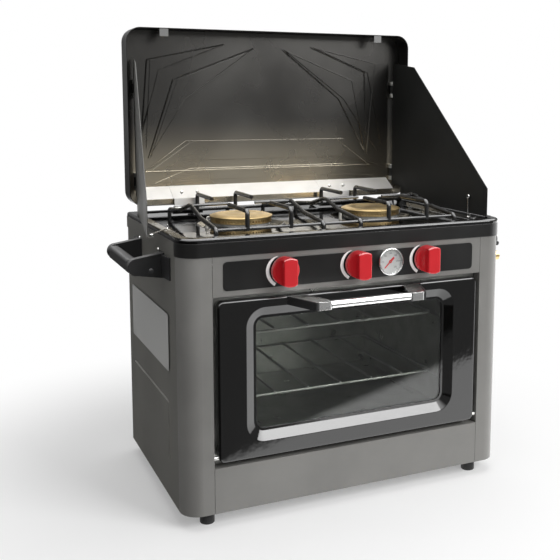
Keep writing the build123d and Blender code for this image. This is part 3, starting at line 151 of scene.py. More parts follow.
# The stove stands on white paper, which takes its shadow close by and is plain white
# further out. Mirrored in gloss, the paper is a bright sheet with an edge and a left end.
paper_reach = 9.0
shadow_middle = (-0.06, -0.02, 0.0)
across_edge = (0.415, 0.91, 0.0)
paper = bpy.data.materials.new("white_paper")
paper.use_nodes = True
tree = paper.node_tree
tree.nodes.clear()
matte = tree.nodes.new("ShaderNodeBsdfDiffuse")
matte.inputs["Color"].default_value = (0.93, 0.93, 0.93, 1.0)
glow = tree.nodes.new("ShaderNodeEmission")
glow.inputs["Strength"].default_value = 1.0
place = tree.nodes.new("ShaderNodeNewGeometry")
distance = tree.nodes.new("ShaderNodeVectorMath")
distance.operation = "DISTANCE"
distance.inputs[1].default_value = shadow_middle
wire(tree, place, "Position", distance, 0)
fade = ramp(tree, distance, "Value", start=0.36, end=0.80, low=0.30, soft=True)
across = tree.nodes.new("ShaderNodeVectorMath")
across.operation = "DOT_PRODUCT"
across.inputs[1].default_value = across_edge
wire(tree, place, "Position", across, 0)
paper_edge = ramp(tree, across, "Value", start=-0.405, end=-0.375, low=0.30, high=2.6)
spot = tree.nodes.new("ShaderNodeSeparateXYZ")
wire(tree, place, "Position", spot, 0)
left_end = ramp(tree, spot, "X", start=-0.27, end=-0.20, low=0.04)
lit_paper = combine(tree, "MULTIPLY", paper_edge, "Result", left_end, "Result")
path = tree.nodes.new("ShaderNodeLightPath")
mirror_tone = tree.nodes.new("ShaderNodeMix")
mirror_tone.data_type = "RGBA"
mirror_tone.inputs[6].default_value = (1.0, 1.0, 1.0, 1.0)
wire(tree, path, "Is Glossy Ray", mirror_tone, 0)
wire(tree, lit_paper, 0, mirror_tone, 7)
wire(tree, mirror_tone, 2, glow, "Color")
lifted = combine(tree, "MAXIMUM", fade, "Result", path, "Is Glossy Ray")
share = combine(tree, "MULTIPLY", lifted, 0, seen_directly(tree, path), 0)
blend(tree, share, matte, glow, "ShaderNodeOutputMaterial")
floor_mesh = bpy.data.meshes.new("paper_floor")
floor_corners = [(x * paper_reach, y * paper_reach, 0.0) for x, y in ((-1, -1), (1, -1), (1, 1), (-1, 1))]
floor_mesh.from_pydata(floor_corners, [], [(0, 1, 2, 3)])
floor_mesh.materials.append(paper)
paper_floor = bpy.data.objects.new("paper_floor", floor_mesh)
scene.collection.objects.link(paper_floor)

# The cabinet's side panels, rails and back are pressed mild steel, riveted or folded
# together, then sprayed a warm dark grey and stoved: a fine orange peel and no grain.


def finish_of(name, colour, roughness, metallic=0.0, specular=0.5, mottle=0.10, mottle_size=0.09,
              grain=0.0016, relief=0.00002, stretch=(1.0, 1.0, 1.0), wander=0.06, edge=0.0006):
    """A sheet or cast surface: colour that drifts a little, a fine relief and eased edges."""
    made = bpy.data.materials.new(name)
    made.use_nodes = True
    tree = made.node_tree
    shader = tree.nodes["Principled BSDF"]
    shader.inputs["Metallic"].default_value = metallic
    shader.inputs["Specular IOR Level"].default_value = specular
    where = tree.nodes.new("ShaderNodeTexCoord")
    drift = tree.nodes.new("ShaderNodeTexNoise")
    drift.inputs["Scale"].default_value = 1.0 / mottle_size
    drift.inputs["Detail"].default_value = 4.0
    wire(tree, where, "Object", drift, "Vector")
    tone = tree.nodes.new("ShaderNodeValToRGB")
    tone.color_ramp.elements[0].position = 0.32
    tone.color_ramp.elements[0].color = tuple(c * (1.0 - mottle) for c in colour) + (1.0,)
    tone.color_ramp.elements[1].position = 0.68
    tone.color_ramp.elements[1].color = tuple(min(1.0, c * (1.0 + mottle)) for c in colour) + (1.0,)
    wire(tree, drift, "Fac", tone, "Fac")
    wire(tree, tone, "Color", shader, "Base Color")
    smooth, rough = max(0.02, roughness - wander), min(1.0, roughness + wander)
    gloss = ramp(tree, drift, "Fac", start=0.3, end=0.7, low=smooth, high=rough)
    wire(tree, gloss, "Result", shader, "Roughness")
    lay = tree.nodes.new("ShaderNodeMapping")
    lay.inputs["Scale"].default_value = stretch
    wire(tree, where, "Object", lay, "Vector")
    pores = tree.nodes.new("ShaderNodeTexNoise")
    pores.inputs["Scale"].default_value = 1.0 / grain
    pores.inputs["Detail"].default_value = 2.0
    wire(tree, lay, "Vector", pores, "Vector")
    raised = tree.nodes.new("ShaderNodeBump")
    raised.inputs["Strength"].default_value = 1.0
    raised.inputs["Distance"].default_value = relief
    wire(tree, pores, "Fac", raised, "Height")
    eased = tree.nodes.new("ShaderNodeBevel")
    eased.samples = 4
    eased.inputs["Radius"].default_value = edge
    wire(tree, eased, "Normal", raised, "Normal")
    wire(tree, raised, "Normal", shader, "Normal")
    return made


def dress(material, *names):
    """Give a finish to CAD pieces whose shape is right as it is."""
    for name in names:
        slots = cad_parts[name].data.materials
        for index in range(len(slots)):
            slots[index] = material


side_grey = finish_of("side_grey_paint", (0.125, 0.122, 0.111), 0.45, specular=0.35, grain=0.0022,
                      relief=0.00003, wander=0.05)
dress(side_grey, "side_panel_left", "side_panel_right", "side_rails", "back_panel")

# The front frame is the same steel in a lighter silver grey paint: two corner posts
# rolled to a large radius, a kick panel, and the frame round the controls.
front_grey = finish_of("front_silver_paint", (0.170, 0.167, 0.158), 0.42, specular=0.35, grain=0.0012,
                       relief=0.00002, wander=0.05)
dress(front_grey, "corner_post_left", "corner_post_right", "kick_panel", "control_panel")

# The lid's outside, the front band, the base and the control plate are folded sheet
# steel, sprayed satin black.
satin_black = finish_of("satin_black_paint", (0.0085, 0.0085, 0.0082), 0.34, specular=0.35, mottle=0.15,
                        grain=0.002, relief=0.00002)
dress(satin_black, "lid_shell", "front_band", "base_panel", "control_fascia")

# The cooktop tray and the door's outer skin are pressed steel in vitreous enamel, fired
# glossy black, with a slow ripple under the gloss.
enamel = finish_of("black_enamel_gloss", (0.0030, 0.0029, 0.0028), 0.06, specular=0.55, mottle=0.12,
                   grain=0.020, relief=0.00020, wander=0.025, edge=0.0009)
dress(enamel, "cooktop_tray", "door_outer")

# The pan support is bent and welded steel rod in matte black enamel. It stands in the
# tray and lifts out for cleaning.
matte_rod = finish_of("matte_black_rod", (0.010, 0.010, 0.010), 0.30, specular=0.6, mottle=0.25,
                      mottle_size=0.02, grain=0.0007, relief=0.00004)
dress(matte_rod, "pan_support")

# The lid's liner is one pressed sheet of satin steel, held in the lid's folded rim. Its
# lower part is painted a warm straw yellow that fades upwards, a painted reflection of the brass burners.
liner_painted_reflection = finish_of("lid_liner_painted_reflection", (0.075, 0.073, 0.069), 0.27, metallic=0.85, mottle=0.12,
                        mottle_size=0.16, grain=0.0009, relief=0.00001, stretch=(0.08, 1.0, 1.0), wander=0.05)


def tint_by_height(material, colour, start, end, low, high, soft=False):
    """Blend a finish towards one colour, by a share that changes between two heights."""
    tree = material.node_tree
    spot = tree.nodes.new("ShaderNodeTexCoord")
    height = tree.nodes.new("ShaderNodeSeparateXYZ")
    wire(tree, spot, "Object", height, 0)
    share = ramp(tree, height, "Z", start, end, low, high, soft)
    tinted = tree.nodes.new("ShaderNodeMix")
    tinted.data_type = "RGBA"
    tinted.inputs[7].default_value = colour + (1.0,)
    wire(tree, share, "Result", tinted, 0)
    wire(tree, tree.nodes["Color Ramp"], "Color", tinted, 6)
    wire(tree, tinted, 2, tree.nodes["Principled BSDF"], "Base Color")


# Painted reflection: the liner's lower part is tinted warm, fading out towards the upper height.
tint_by_height(liner_painted_reflection, (0.42, 0.38, 0.30), start=0.470, end=0.590, low=0.95, high=0.0, soft=True)
dress(liner_painted_reflection, "lid_liner")

# The hinge straps are riveted sheet steel, dark like the liner. Where they lie on the
# liner's sloping foot they are painted near white, a painted reflection of the light that the foot catches.
strap_painted_reflection = finish_of("hinge_strap_painted_reflection", (0.10, 0.098, 0.092), 0.38, metallic=0.15, mottle=0.06,
                        grain=0.01, relief=0.0, edge=0.0004)
# Painted reflection: the straps turn near white below the top edge of the liner's foot.
tint_by_height(strap_painted_reflection, (0.84, 0.83, 0.81), start=0.468, end=0.470, low=1.0, high=0.0)
dress(strap_painted_reflection, "lid_hinge_straps")

# Each windshield is a flat folded sheet that hangs in eyes on the lid: the left one is
# painted dark grey, the right one matte black.
shield_grey = finish_of("shield_dark_grey", (0.058, 0.057, 0.052), 0.50, specular=0.3, mottle=0.12,
                        grain=0.0018, relief=0.00002)
dress(shield_grey, "windshield_left")
shield_black = finish_of("shield_matte_black", (0.0075, 0.0078, 0.0075), 0.55, specular=0.25, mottle=0.12,
                         grain=0.0018, relief=0.00002)
dress(shield_black, "windshield_right")

# The sheet and tube inside the cabinet, the hinge parts and the valve stems are zinc
# plated steel, left bare.
zinc = finish_of("zinc_plate", (0.46, 0.46, 0.44), 0.36, metallic=0.9, mottle=0.16, mottle_size=0.03,
                 grain=0.003, relief=0.00002, wander=0.10)
dress(zinc, "oven_liner", "door_inner", "oven_floor", "rack_runners", "mixer_tubes", "oven_supply_pipe",
      "oven_burner", "lid_hinge_base", "windshield_hinges", "door_pins", "valve_stem_left",
      "valve_stem_middle", "valve_stem_right")

# The lid's catches, the wire hooks and the thermometer's case are polished steel with
# chrome plate.
chrome = finish_of("chrome_plate", (0.72, 0.72, 0.71), 0.10, metallic=1.0, mottle=0.04, grain=0.004,
                   relief=0.000006, wander=0.03)
dress(chrome, "lid_catches", "thermometer_case", "hook_left", "hook_right")

# The door handle's bar and arms are plated to a softer shine, and screwed through the
# door. The two oven racks are welded wire, nickel plated.
satin_chrome = finish_of("satin_chrome_plate", (0.70, 0.70, 0.69), 0.26, metallic=1.0, mottle=0.05,
                         grain=0.003, relief=0.000006, wander=0.04)
dress(satin_chrome, "door_handle_arms", "door_handle_bar")
nickel_wire = finish_of("nickelled_wire", (0.60, 0.60, 0.58), 0.40, metallic=0.55, mottle=0.08,
                        mottle_size=0.02, grain=0.001, relief=0.00001)
dress(nickel_wire, "rack_upper", "rack_lower")

# The gas inlet, the valves and the manifold are turned and drilled brass, a little
# tarnished. The burner caps further down are of the same brass.
brass = finish_of("turned_brass", (0.50, 0.37, 0.18), 0.34, metallic=1.0, mottle=0.10, mottle_size=0.03,
                  grain=0.0012, relief=0.00001, wander=0.06, edge=0.0003)
dress(brass, "gas_inlet", "gas_valves", "gas_manifold")

# The burner bases are sand cast in aluminium and left rough, and screws hold them in
# the dishes of the cooktop tray.
cast_alloy = finish_of("cast_alloy", (0.42, 0.42, 0.41), 0.55, metallic=0.85, mottle=0.2, mottle_size=0.008,
                       grain=0.0008, relief=0.00008)
dress(cast_alloy, "burner_bases")

# Each knob is one moulding in glossy red plastic: a round skirt with a grip bar across
# it, hollowed on both sides for finger and thumb. It presses onto the valve's stem.
knob_red = finish_of("knob_red_plastic", (0.52, 0.012, 0.018), 0.15, specular=0.6, mottle=0.05, grain=0.003,
                     relief=0.000004, wander=0.03)
knob_sides = ("left", "middle", "right")
knob_radius = 0.0210
knob_depth = 0.0250
skirt_depth = 0.0068
rim_round = 0.0022
grip_half = 0.0108
grip_round = 0.0016
flank_drop = 0.0030
flank_share = 0.02
hollow_width = 0.0085
hollow_share = 0.62
hollow_curve = 2.6
knob_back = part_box("knob_left")[1].y


def knob_height(x, r):
    """How far the knob's face stands out from its back, at x across the grip and r from the axis."""
    edge = max(0.0, r - (knob_radius - rim_round)) / rim_round
    rounded = rim_round * (1.0 - math.sqrt(max(0.0, 1.0 - edge * edge)))
    out = abs(x) - (grip_half - grip_round)
    if out <= 0.0:
        return knob_depth - rounded
    if out <= grip_round:
        return knob_depth - grip_round * (1.0 - math.sqrt(1.0 - (out / grip_round) ** 2)) - rounded
    fall = min(1.0, (out - grip_round) / hollow_width)
    if fall <= flank_share:
        return knob_depth - flank_drop - rounded
    hollow = (1.0 - fall) ** hollow_curve
    skirt = skirt_depth - 0.5 * rounded
    return skirt + (knob_depth - grip_round - rounded - skirt) * hollow * hollow_share


def show(name, shape, material, body, crease=0.6, outward=True):
    """Turn a bmesh in metres into a finished piece that moves with a body."""
    if outward:
        bmesh.ops.recalc_face_normals(shape, faces=shape.faces)
    mesh = bpy.data.meshes.new(name)
    shape.to_mesh(mesh)
    shape.free()
    mesh.polygons.foreach_set("use_smooth", [True] * len(mesh.polygons))
    mesh.set_sharp_from_angle(angle=crease)
    mesh.materials.append(material)
    piece = bpy.data.objects.new(name, mesh)
    scene.collection.objects.link(piece)
    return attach(piece, body)


# The face is drawn in columns across the grip, closer together at its two edges and at
# the skirt's rim, and in rows that follow the knob's round.
grip_steps = [0.0, 0.3, 0.55, 0.75, 0.85, 0.91, 0.95, 0.985, 1.0, 1.03, 1.07, 1.14, 1.24, 1.36, 1.5, 1.64,
              1.77, 1.86, 1.92, 1.938, 1.9444]
columns = sorted([-grip_half * k for k in grip_steps[1:]] + [grip_half * k for k in grip_steps])
row_count = 40
rows = [math.sin((-1.0 + 2.0 * k / row_count) * math.pi / 2) for k in range(row_count + 1)]
for side in knob_sides:
    low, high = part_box("knob_" + side)
    middle = (low + high) / 2
    shape = bmesh.new()
    grid = []
    for x in columns:
        half = math.sqrt(max(1e-9, knob_radius ** 2 - x ** 2))
        line = []
        for row in rows:
            z = row * half
            out = knob_height(x, min(knob_radius, math.hypot(x, z)))
            line.append(shape.verts.new((middle.x + x, knob_back - out, middle.z + z)))
        grid.append(line)
    for a, b in zip(grid, grid[1:]):
        for k in range(row_count):
            shape.faces.new((a[k], a[k + 1], b[k + 1], b[k]))
    rim = [line[0] for line in grid] + grid[-1][1:]
    rim += [line[-1] for line in grid[-2::-1]] + grid[0][-2:0:-1]
    back = [shape.verts.new((v.co.x, knob_back, v.co.z)) for v in rim]
    for k, v in enumerate(rim):
        shape.faces.new((v, back[k], back[k - len(rim) + 1], rim[k - len(rim) + 1]))
    shape.faces.new(back)
    knob = show("red_knob_" + side, shape, knob_red, "knob_" + side, crease=0.9)
    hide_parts("knob_" + side)

# The side handles and the cheeks of the door's handle are moulded in black heat-proof
# plastic with a fine matte texture, and screwed on.
black_plastic = finish_of("black_moulding", (0.010, 0.010, 0.0105), 0.48, specular=0.4, mottle=0.15,
                          grain=0.0009, relief=0.00005)
dress(black_plastic, "handle_arms", "handle_grips", "door_handle_caps")

# The igniter electrodes stand beside the burners: steel pins in glazed ceramic
# insulators, clipped to the tray.
ceramic = finish_of("glazed_ceramic", (0.78, 0.76, 0.70), 0.20, mottle=0.05, mottle_size=0.004)
dress(ceramic, "igniter_electrodes")

# The gasket round the oven's mouth is a woven glass fibre cord, and the four feet are
# soft black rubber, screwed to the base.
gasket = finish_of("woven_gasket", (0.24, 0.235, 0.22), 0.85, mottle=0.2, mottle_size=0.003, grain=0.0012,
                   relief=0.0003)
dress(gasket, "oven_gasket")
rubber = finish_of("foot_rubber", (0.014, 0.014, 0.014), 0.75, specular=0.3, mottle=0.2, grain=0.001,
                   relief=0.00005)
dress(rubber, "feet")

# The door's window is toughened smoked glass behind the enamelled frame, and the
# thermometer has a clear lens under its rolled rim.


def pane(name, tint):
    """Clear or smoked sheet glass whose tint drifts a little."""
    made = bpy.data.materials.new(name)
    made.use_nodes = True
    tree = made.node_tree
    shader = tree.nodes["Principled BSDF"]
    shader.inputs["Transmission Weight"].default_value = 1.0
    shader.inputs["IOR"].default_value = 1.45
    shader.inputs["Roughness"].default_value = 0.0
    where = tree.nodes.new("ShaderNodeTexCoord")
    smear = tree.nodes.new("ShaderNodeTexNoise")
    smear.inputs["Scale"].default_value = 14.0
    wire(tree, where, "Object", smear, "Vector")
    tone = tree.nodes.new("ShaderNodeValToRGB")
    tone.color_ramp.elements[0].color = tuple(c * 0.96 for c in tint) + (1.0,)
    tone.color_ramp.elements[1].color = tint + (1.0,)
    wire(tree, smear, "Fac", tone, "Fac")
    wire(tree, tone, "Color", shader, "Base Color")
    return made


oven_glass = pane("smoked_oven_glass", (0.56, 0.58, 0.56))
dress(oven_glass, "door_glass")
lens_glass = pane("thermometer_glass", (0.97, 0.97, 0.97))
dress(lens_glass, "thermometer_lens")

# White paint marks, screen printed on the control plate: a crescent at each knob that
# widens from low flame to high.
mark_white = finish_of("white_screen_print", (0.80, 0.80, 0.79), 0.45, mottle=0.04, mottle_size=0.002,
                       edge=0.0)
mark_steps = 32
mark_start = 112
mark_sweep = 126
mark_width = 0.0050
swell_speed = 0.85
swell_curve = 0.8
taper_from = 0.6
taper_rate = 0.35
mark_inner = knob_radius + 0.0012
mark_outer = knob_radius + 0.0014
mark_lift = 0.00015
plate_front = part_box("control_fascia")[0].y


def turn_faces(shape, way):
    """Turn every face of a flat bmesh towards the side that it is seen from."""
    shape.normal_update()
    for face in shape.faces:
        if face.normal.dot(Vector(way)) < 0.0:
            face.normal_flip()


shape = bmesh.new()
for side in knob_sides:
    low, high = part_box("knob_" + side)
    middle = (low + high) / 2
    previous = None
    for k in range(mark_steps + 1):
        share = k / mark_steps
        angle = math.radians(mark_start + mark_sweep * share)
        swell = math.sin(math.pi * min(0.5, share * swell_speed)) ** swell_curve
        taper = 1.0 - taper_rate * max(0.0, share - taper_from)
        pair = []
        for r in (mark_inner, mark_outer + mark_width * swell * taper):
            x, z = middle.x + r * math.cos(angle), middle.z + r * math.sin(angle)
            pair.append(shape.verts.new((x, plate_front - mark_lift, z)))
        if previous:
            shape.faces.new((previous[0], pair[0], pair[1], previous[1]))
        previous = pair
turn_faces(shape, (0.0, -1.0, 0.0))
marks = show("flame_marks", shape, mark_white, "cabinet", outward=False)

# The thermometer's dial is a printed tin disc under glass. It has a ring of 37 ticks
# over 270 degrees, with every sixth one longer and numbered from 0 to 300. A kind of
# tick is its inner radius and half its width.
dial_pale = finish_of("dial_tin_white", (0.60, 0.61, 0.60), 0.40, metallic=0.2, mottle=0.06, mottle_size=0.01)
dial_ink = finish_of("dial_ink_grey", (0.06, 0.06, 0.06), 0.5, mottle=0.05, mottle_size=0.002)
dial_radius = 0.0188
dial_gap = 0.0001
dial_start = 225
dial_sweep = 270
tick_count = 36
ticks_per_number = 6
long_tick = (0.0150, 0.00028)
short_tick = (0.0164, 0.00016)
tick_outer = 0.0178
tick_lift = 0.00012
number_count = 6
number_step = 50
number_size = 0.0034
number_radius = 0.0126
number_lift = 0.00005
upright = Matrix.Rotation(math.pi / 2, 4, "X")
low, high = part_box("thermometer_case")
dial_middle = (low + high) / 2
dial_middle.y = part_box("thermometer_needle")[1].y + dial_gap
shape = bmesh.new()
bmesh.ops.create_circle(shape, cap_ends=True, segments=72, radius=dial_radius,
                        matrix=Matrix.Translation(dial_middle) @ upright)
turn_faces(shape, (0.0, -1.0, 0.0))
dial = show("dial_face", shape, dial_pale, "cabinet", outward=False)
shape = bmesh.new()
for k in range(tick_count + 1):
    angle = math.radians(dial_start - dial_sweep * k / tick_count)
    tick_inner, half_width = short_tick if k % ticks_per_number else long_tick
    along = Vector((math.cos(angle), 0.0, math.sin(angle)))
    aside = Vector((-math.sin(angle), 0.0, math.cos(angle))) * half_width
    centre = dial_middle - Vector((0.0, tick_lift, 0.0))
    corners = [centre + along * tick_inner - aside, centre + along * tick_outer - aside,
               centre + along * tick_outer + aside, centre + along * tick_inner + aside]
    shape.faces.new([shape.verts.new(c) for c in corners])
ticks = show("dial_ticks", shape, dial_ink, "cabinet", outward=False)
shape = bmesh.new()
for k in range(number_count + 1):
    digits = bpy.data.curves.new("dial_number", "FONT")
    digits.body = str(number_step * k)
    digits.size = number_size
    digits.align_x = "CENTER"
    digits.align_y = "CENTER"
    holder = bpy.data.objects.new("dial_number", digits)
    scene.collection.objects.link(holder)
    evaluated = holder.evaluated_get(bpy.context.evaluated_depsgraph_get())
    flat_digits = bpy.data.meshes.new_from_object(evaluated)
    bpy.data.objects.remove(holder)
    angle = math.radians(dial_start - dial_sweep * k / number_count)
    out = Vector((number_radius * math.cos(angle), -number_lift, number_radius * math.sin(angle)))
    flat_digits.transform(Matrix.Translation(dial_middle + out) @ upright)
    shape.from_mesh(flat_digits)
    bpy.data.meshes.remove(flat_digits)
numbers = show("dial_numbers", shape, dial_ink, "cabinet", outward=False)

# The burner caps are turned brass with a row of flame ports cut round the wall under
# an overhanging lip. They lie loose on the bases. Each point is a radius and a height.
cap_profile = [(0.0000, 0.4350), (0.0240, 0.4350), (0.0250, 0.4347), (0.0280, 0.4347), (0.0290, 0.4350),
               (0.0405, 0.4350), (0.0420, 0.4348), (0.0490, 0.4330), (0.0508, 0.4322), (0.0510, 0.4312),
               (0.0508, 0.4303), (0.0497, 0.4300), (0.0495, 0.4294), (0.0495, 0.4280), (0.0495, 0.4240),
               (0.0495, 0.4222), (0.0480, 0.4221)]
port_count = 60
port_level = 12
port_margin = 0.00025
port_depth = 0.0022
around = 2 * port_count
for side in ("left", "right"):
    low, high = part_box("burner_cap_" + side)
    centre = (low + high) / 2
    shape = bmesh.new()
    top = shape.verts.new((centre.x, centre.y, cap_profile[0][1]))
    rings = []
    for r, z in cap_profile[1:]:
        ring = []
        for k in range(around):
            a = math.pi * (k + 0.5) / port_count
            ring.append(shape.verts.new((centre.x + r * math.cos(a), centre.y + r * math.sin(a), z)))
        rings.append(ring)
    for k in range(around):
        shape.faces.new((top, rings[0][k], rings[0][(k + 1) % around]))
    cut = []
    for level, (a, b) in enumerate(zip(rings, rings[1:])):
        for k in range(around):
            n = (k + 1) % around
            face = shape.faces.new((a[k], b[k], b[n], a[n]))
            if level == port_level and k % 2 == 0:
                cut.append(face)
    shape.normal_update()
    bmesh.ops.inset_individual(shape, faces=cut, thickness=port_margin, depth=0.0)
    for face in cut:
        at = face.calc_center_median()
        inward = Vector((centre.x - at.x, centre.y - at.y, 0.0)).normalized()
        moved = bmesh.ops.extrude_discrete_faces(shape, faces=[face])["faces"]
        bmesh.ops.translate(shape, verts=moved[0].verts[:], vec=inward * port_depth)
    cap = show("brass_cap_" + side, shape, brass, "cabinet", crease=0.5)
    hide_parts("burner_cap_" + side)

# A near-white sheet lies on the sloping foot of the lid's liner, a painted reflection of the bright light
# that the foot catches.
# It rises from its front edge back to the liner's upright face.
painted_reflection_sheet = finish_of("liner_foot_painted_reflection", (0.84, 0.83, 0.81), 0.38, metallic=0.15, mottle=0.05,
                         mottle_size=0.05, grain=0.02, relief=0.0, wander=0.05, edge=0.0)
strip_half = 0.244
strip_front = (0.1664, 0.4474)
strip_back = (0.1962, 0.4663)
shape = bmesh.new()
corners = [(-strip_half, *strip_front), (strip_half, *strip_front),
           (strip_half, *strip_back), (-strip_half, *strip_back)]
shape.faces.new([shape.verts.new(c) for c in corners])
turn_faces(shape, (0.0, 0.0, 1.0))
strip = show("lid_foot_strip", shape, painted_reflection_sheet, "lid", outward=False)

# Pressed panels stiffen the liner: two with four corners fan out at each side, and two
# long ones lie at the foot. A narrow bead in the same sheet runs round each fan and the
# upper long one. A corner is its place across and its height.
liner_face = 0.1950
bead_sink = 0.0004
bead_half = 0.0011
bead_height = 0.0012
outlines = [((-0.089, 0.715), (-0.228, 0.686), (-0.239, 0.561), (-0.208, 0.669)),
            ((-0.033, 0.709), (-0.182, 0.653), (-0.228, 0.517), (-0.161, 0.619)),
            ((0.081, 0.714), (0.216, 0.686), (0.200, 0.514), (0.194, 0.670)),
            ((0.025, 0.708), (0.167, 0.653), (0.195, 0.521), (0.139, 0.620)),
            ((-0.235, 0.493), (-0.162, 0.545), (0.135, 0.544), (0.206, 0.493))]
shape = bmesh.new()
for outline in outlines:
    for a, b in zip(outline, outline[1:] + outline[:1]):
        along = Vector((b[0] - a[0], 0.0, b[1] - a[1])).normalized()
        aside = Vector((-along.z, 0.0, along.x)) * bead_half
        ends = []
        for x, z in (a, b):
            foot = Vector((x, liner_face + bead_sink, z))
            crest = foot - Vector((0.0, bead_height, 0.0))
            ends.append([shape.verts.new(corner) for corner in (foot - aside, crest, foot + aside)])
        for k in (0, 1):
            shape.faces.new((ends[0][k], ends[1][k], ends[1][k + 1], ends[0][k + 1]))
turn_faces(shape, (0.0, -1.0, 0.0))
beads = show("liner_beads", shape, liner_painted_reflection, "lid", crease=0.3, outward=False)

# A blank pale film is stuck on the paint of the left side panel. It is thin plastic
# with rounded corners, and bears nothing.
label_film = finish_of("blank_label_film", (0.42, 0.42, 0.41), 0.45, mottle=0.04, grain=0.002, relief=0.00001)
film_y = 0.035
film_z = 0.264
film_half_y = 0.1155
film_half_z = 0.0430
film_corner = 0.004
film_lift = 0.0002
film_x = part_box("side_panel_left")[0].x - film_lift


def round_rectangle(half_width, half_height, r, steps=12):
    """Outline points of a rounded rectangle, anticlockwise round its middle."""
    points = []
    corner_x, corner_y = half_width - r, half_height - r
    for sx, sy, first in ((1, 1, 0), (-1, 1, 90), (-1, -1, 180), (1, -1, 270)):
        for k in range(steps + 1):
            a = math.radians(first + 90 * k / steps)
            points.append((sx * corner_x + r * math.cos(a), sy * corner_y + r * math.sin(a)))
    return points


shape = bmesh.new()
film_outline = round_rectangle(film_half_y, film_half_z, film_corner)
shape.faces.new([shape.verts.new((film_x, film_y + y, film_z + z)) for y, z in film_outline])
turn_faces(shape, (-1.0, 0.0, 0.0))
label = show("blank_label", shape, label_film, "cabinet", outward=False)

# Zinc plated dome rivets and screws hold the sheets, the handles and the lid's straps.
# One group of nodes sets a head on every place that it is given.
heads = bpy.data.node_groups.new("dome_heads", "GeometryNodeTree")
heads.interface.new_socket("Places", in_out="INPUT", socket_type="NodeSocketGeometry")
radius_socket = heads.interface.new_socket("Head Radius", in_out="INPUT", socket_type="NodeSocketFloat")
height_socket = heads.interface.new_socket("Head Height", in_out="INPUT", socket_type="NodeSocketFloat")
metal_socket = heads.interface.new_socket("Head Material", in_out="INPUT", socket_type="NodeSocketMaterial")
heads.interface.new_socket("Heads", in_out="OUTPUT", socket_type="NodeSocketGeometry")
given = heads.nodes.new("NodeGroupInput")
ball = heads.nodes.new("GeometryNodeMeshUVSphere")
ball.inputs["Segments"].default_value = 20
ball.inputs["Rings"].default_value = 10
wire(heads, given, "Head Radius", ball, "Radius")
ratio = combine(heads, "DIVIDE", given, "Head Height", given, "Head Radius")
flat = heads.nodes.new("ShaderNodeCombineXYZ")
flat.inputs["X"].default_value = 1.0
flat.inputs["Y"].default_value = 1.0
wire(heads, ratio, 0, flat, "Z")
dome = heads.nodes.new("GeometryNodeTransform")
wire(heads, ball, "Mesh", dome, "Geometry")
wire(heads, flat, "Vector", dome, "Scale")
facing = heads.nodes.new("GeometryNodeInputNamedAttribute")
facing.data_type = "FLOAT_VECTOR"
facing.inputs["Name"].default_value = "facing"
turned = heads.nodes.new("FunctionNodeAlignRotationToVector")
turned.axis = "Z"
wire(heads, facing, "Attribute", turned, "Vector")
placed = heads.nodes.new("GeometryNodeInstanceOnPoints")
wire(heads, given, "Places", placed, "Points")
wire(heads, dome, "Geometry", placed, "Instance")
wire(heads, turned, "Rotation", placed, "Rotation")
real = heads.nodes.new("GeometryNodeRealizeInstances")
wire(heads, placed, "Instances", real, "Geometry")
smooth = heads.nodes.new("GeometryNodeSetShadeSmooth")
wire(heads, real, "Geometry", smooth, "Geometry")
metal = heads.nodes.new("GeometryNodeSetMaterial")
wire(heads, smooth, "Geometry", metal, "Geometry")
wire(heads, given, "Head Material", metal, "Material")
result = heads.nodes.new("NodeGroupOutput")
wire(heads, metal, "Geometry", result, "Heads")


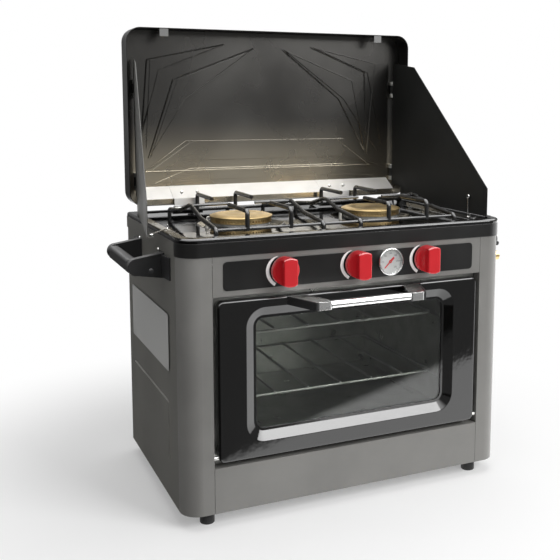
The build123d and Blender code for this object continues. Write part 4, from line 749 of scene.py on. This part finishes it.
def fasten(name, body, places, radius, height, material):
    """Set dome heads on (point, facing) places of one body."""
    mesh = bpy.data.meshes.new(name + "_places")
    mesh.from_pydata([point for point, way in places], [], [])
    mesh.attributes.new("facing", "FLOAT_VECTOR", "POINT")
    for k, (point, way) in enumerate(places):
        mesh.attributes["facing"].data[k].vector = way
    holder = bpy.data.objects.new(name + "_places", mesh)
    scene.collection.objects.link(holder)
    nodes = holder.modifiers.new("heads", "NODES")
    nodes.node_group = heads
    nodes[radius_socket.identifier] = radius
    nodes[height_socket.identifier] = height
    nodes[metal_socket.identifier] = material
    evaluated = holder.evaluated_get(bpy.context.evaluated_depsgraph_get())
    plain = bpy.data.meshes.new_from_object(evaluated)
    bpy.data.objects.remove(holder)
    plain.name = name
    piece = bpy.data.objects.new(name, plain)
    scene.collection.objects.link(piece)
    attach(piece, body)


# Two screws hold each side handle to its side panel, and two upright rows of five hold
# the back panel to the folded edges of the sides.
rivet_zinc = finish_of("rivet_zinc", (0.50, 0.50, 0.48), 0.28, metallic=1.0, mottle=0.15, mottle_size=0.003,
                       edge=0.0)
screw_radius = 0.0034
screw_height = 0.0016
handle_screw_ys = (-0.0305, 0.0895)
handle_screw_z = 0.395
row_steps = 4
row_margin = 0.030
row_inset = 0.018
places = []
for side, way in (("left", -1.0), ("right", 1.0)):
    low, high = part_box("side_panel_" + side)
    face = low.x if way < 0 else high.x
    places += [((face, y, handle_screw_z), (way, 0.0, 0.0)) for y in handle_screw_ys]
low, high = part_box("back_panel")
for k in range(row_steps + 1):
    z = low.z + row_margin + k * (high.z - low.z - 2 * row_margin) / row_steps
    places += [((x, high.y, z), (0.0, 1.0, 0.0)) for x in (low.x + row_inset, high.x - row_inset)]
fasten("cabinet_screws", "cabinet", places, screw_radius, screw_height, rivet_zinc)

# Black plastic plugs cover the screws in the front and back ends of the handle arms,
# and two rivets hold each of the lid's hinge straps near its top.
plug_radius = 0.0038
plug_height = 0.0010
plug_inset = 0.026
plug_z = 0.376
rivet_radius = 0.0030
rivet_height = 0.0014
strap_middles = (-0.166, 0.118)
rivet_reach = 0.014
rivet_drop = 0.008
low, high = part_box("handle_arms")
places = []
for x in (low.x + plug_inset, high.x - plug_inset):
    places += [((x, low.y, plug_z), (0.0, -1.0, 0.0)), ((x, high.y, plug_z), (0.0, 1.0, 0.0))]
fasten("arm_plugs", "cabinet", places, plug_radius, plug_height, black_plastic)
low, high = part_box("lid_hinge_straps")
places = []
for x in strap_middles:
    rivet_z = high.z - rivet_drop
    places += [((x + aside, low.y, rivet_z), (0.0, -1.0, 0.0)) for aside in (-rivet_reach, rivet_reach)]
fasten("strap_rivets", "lid", places, rivet_radius, rivet_height, rivet_zinc)
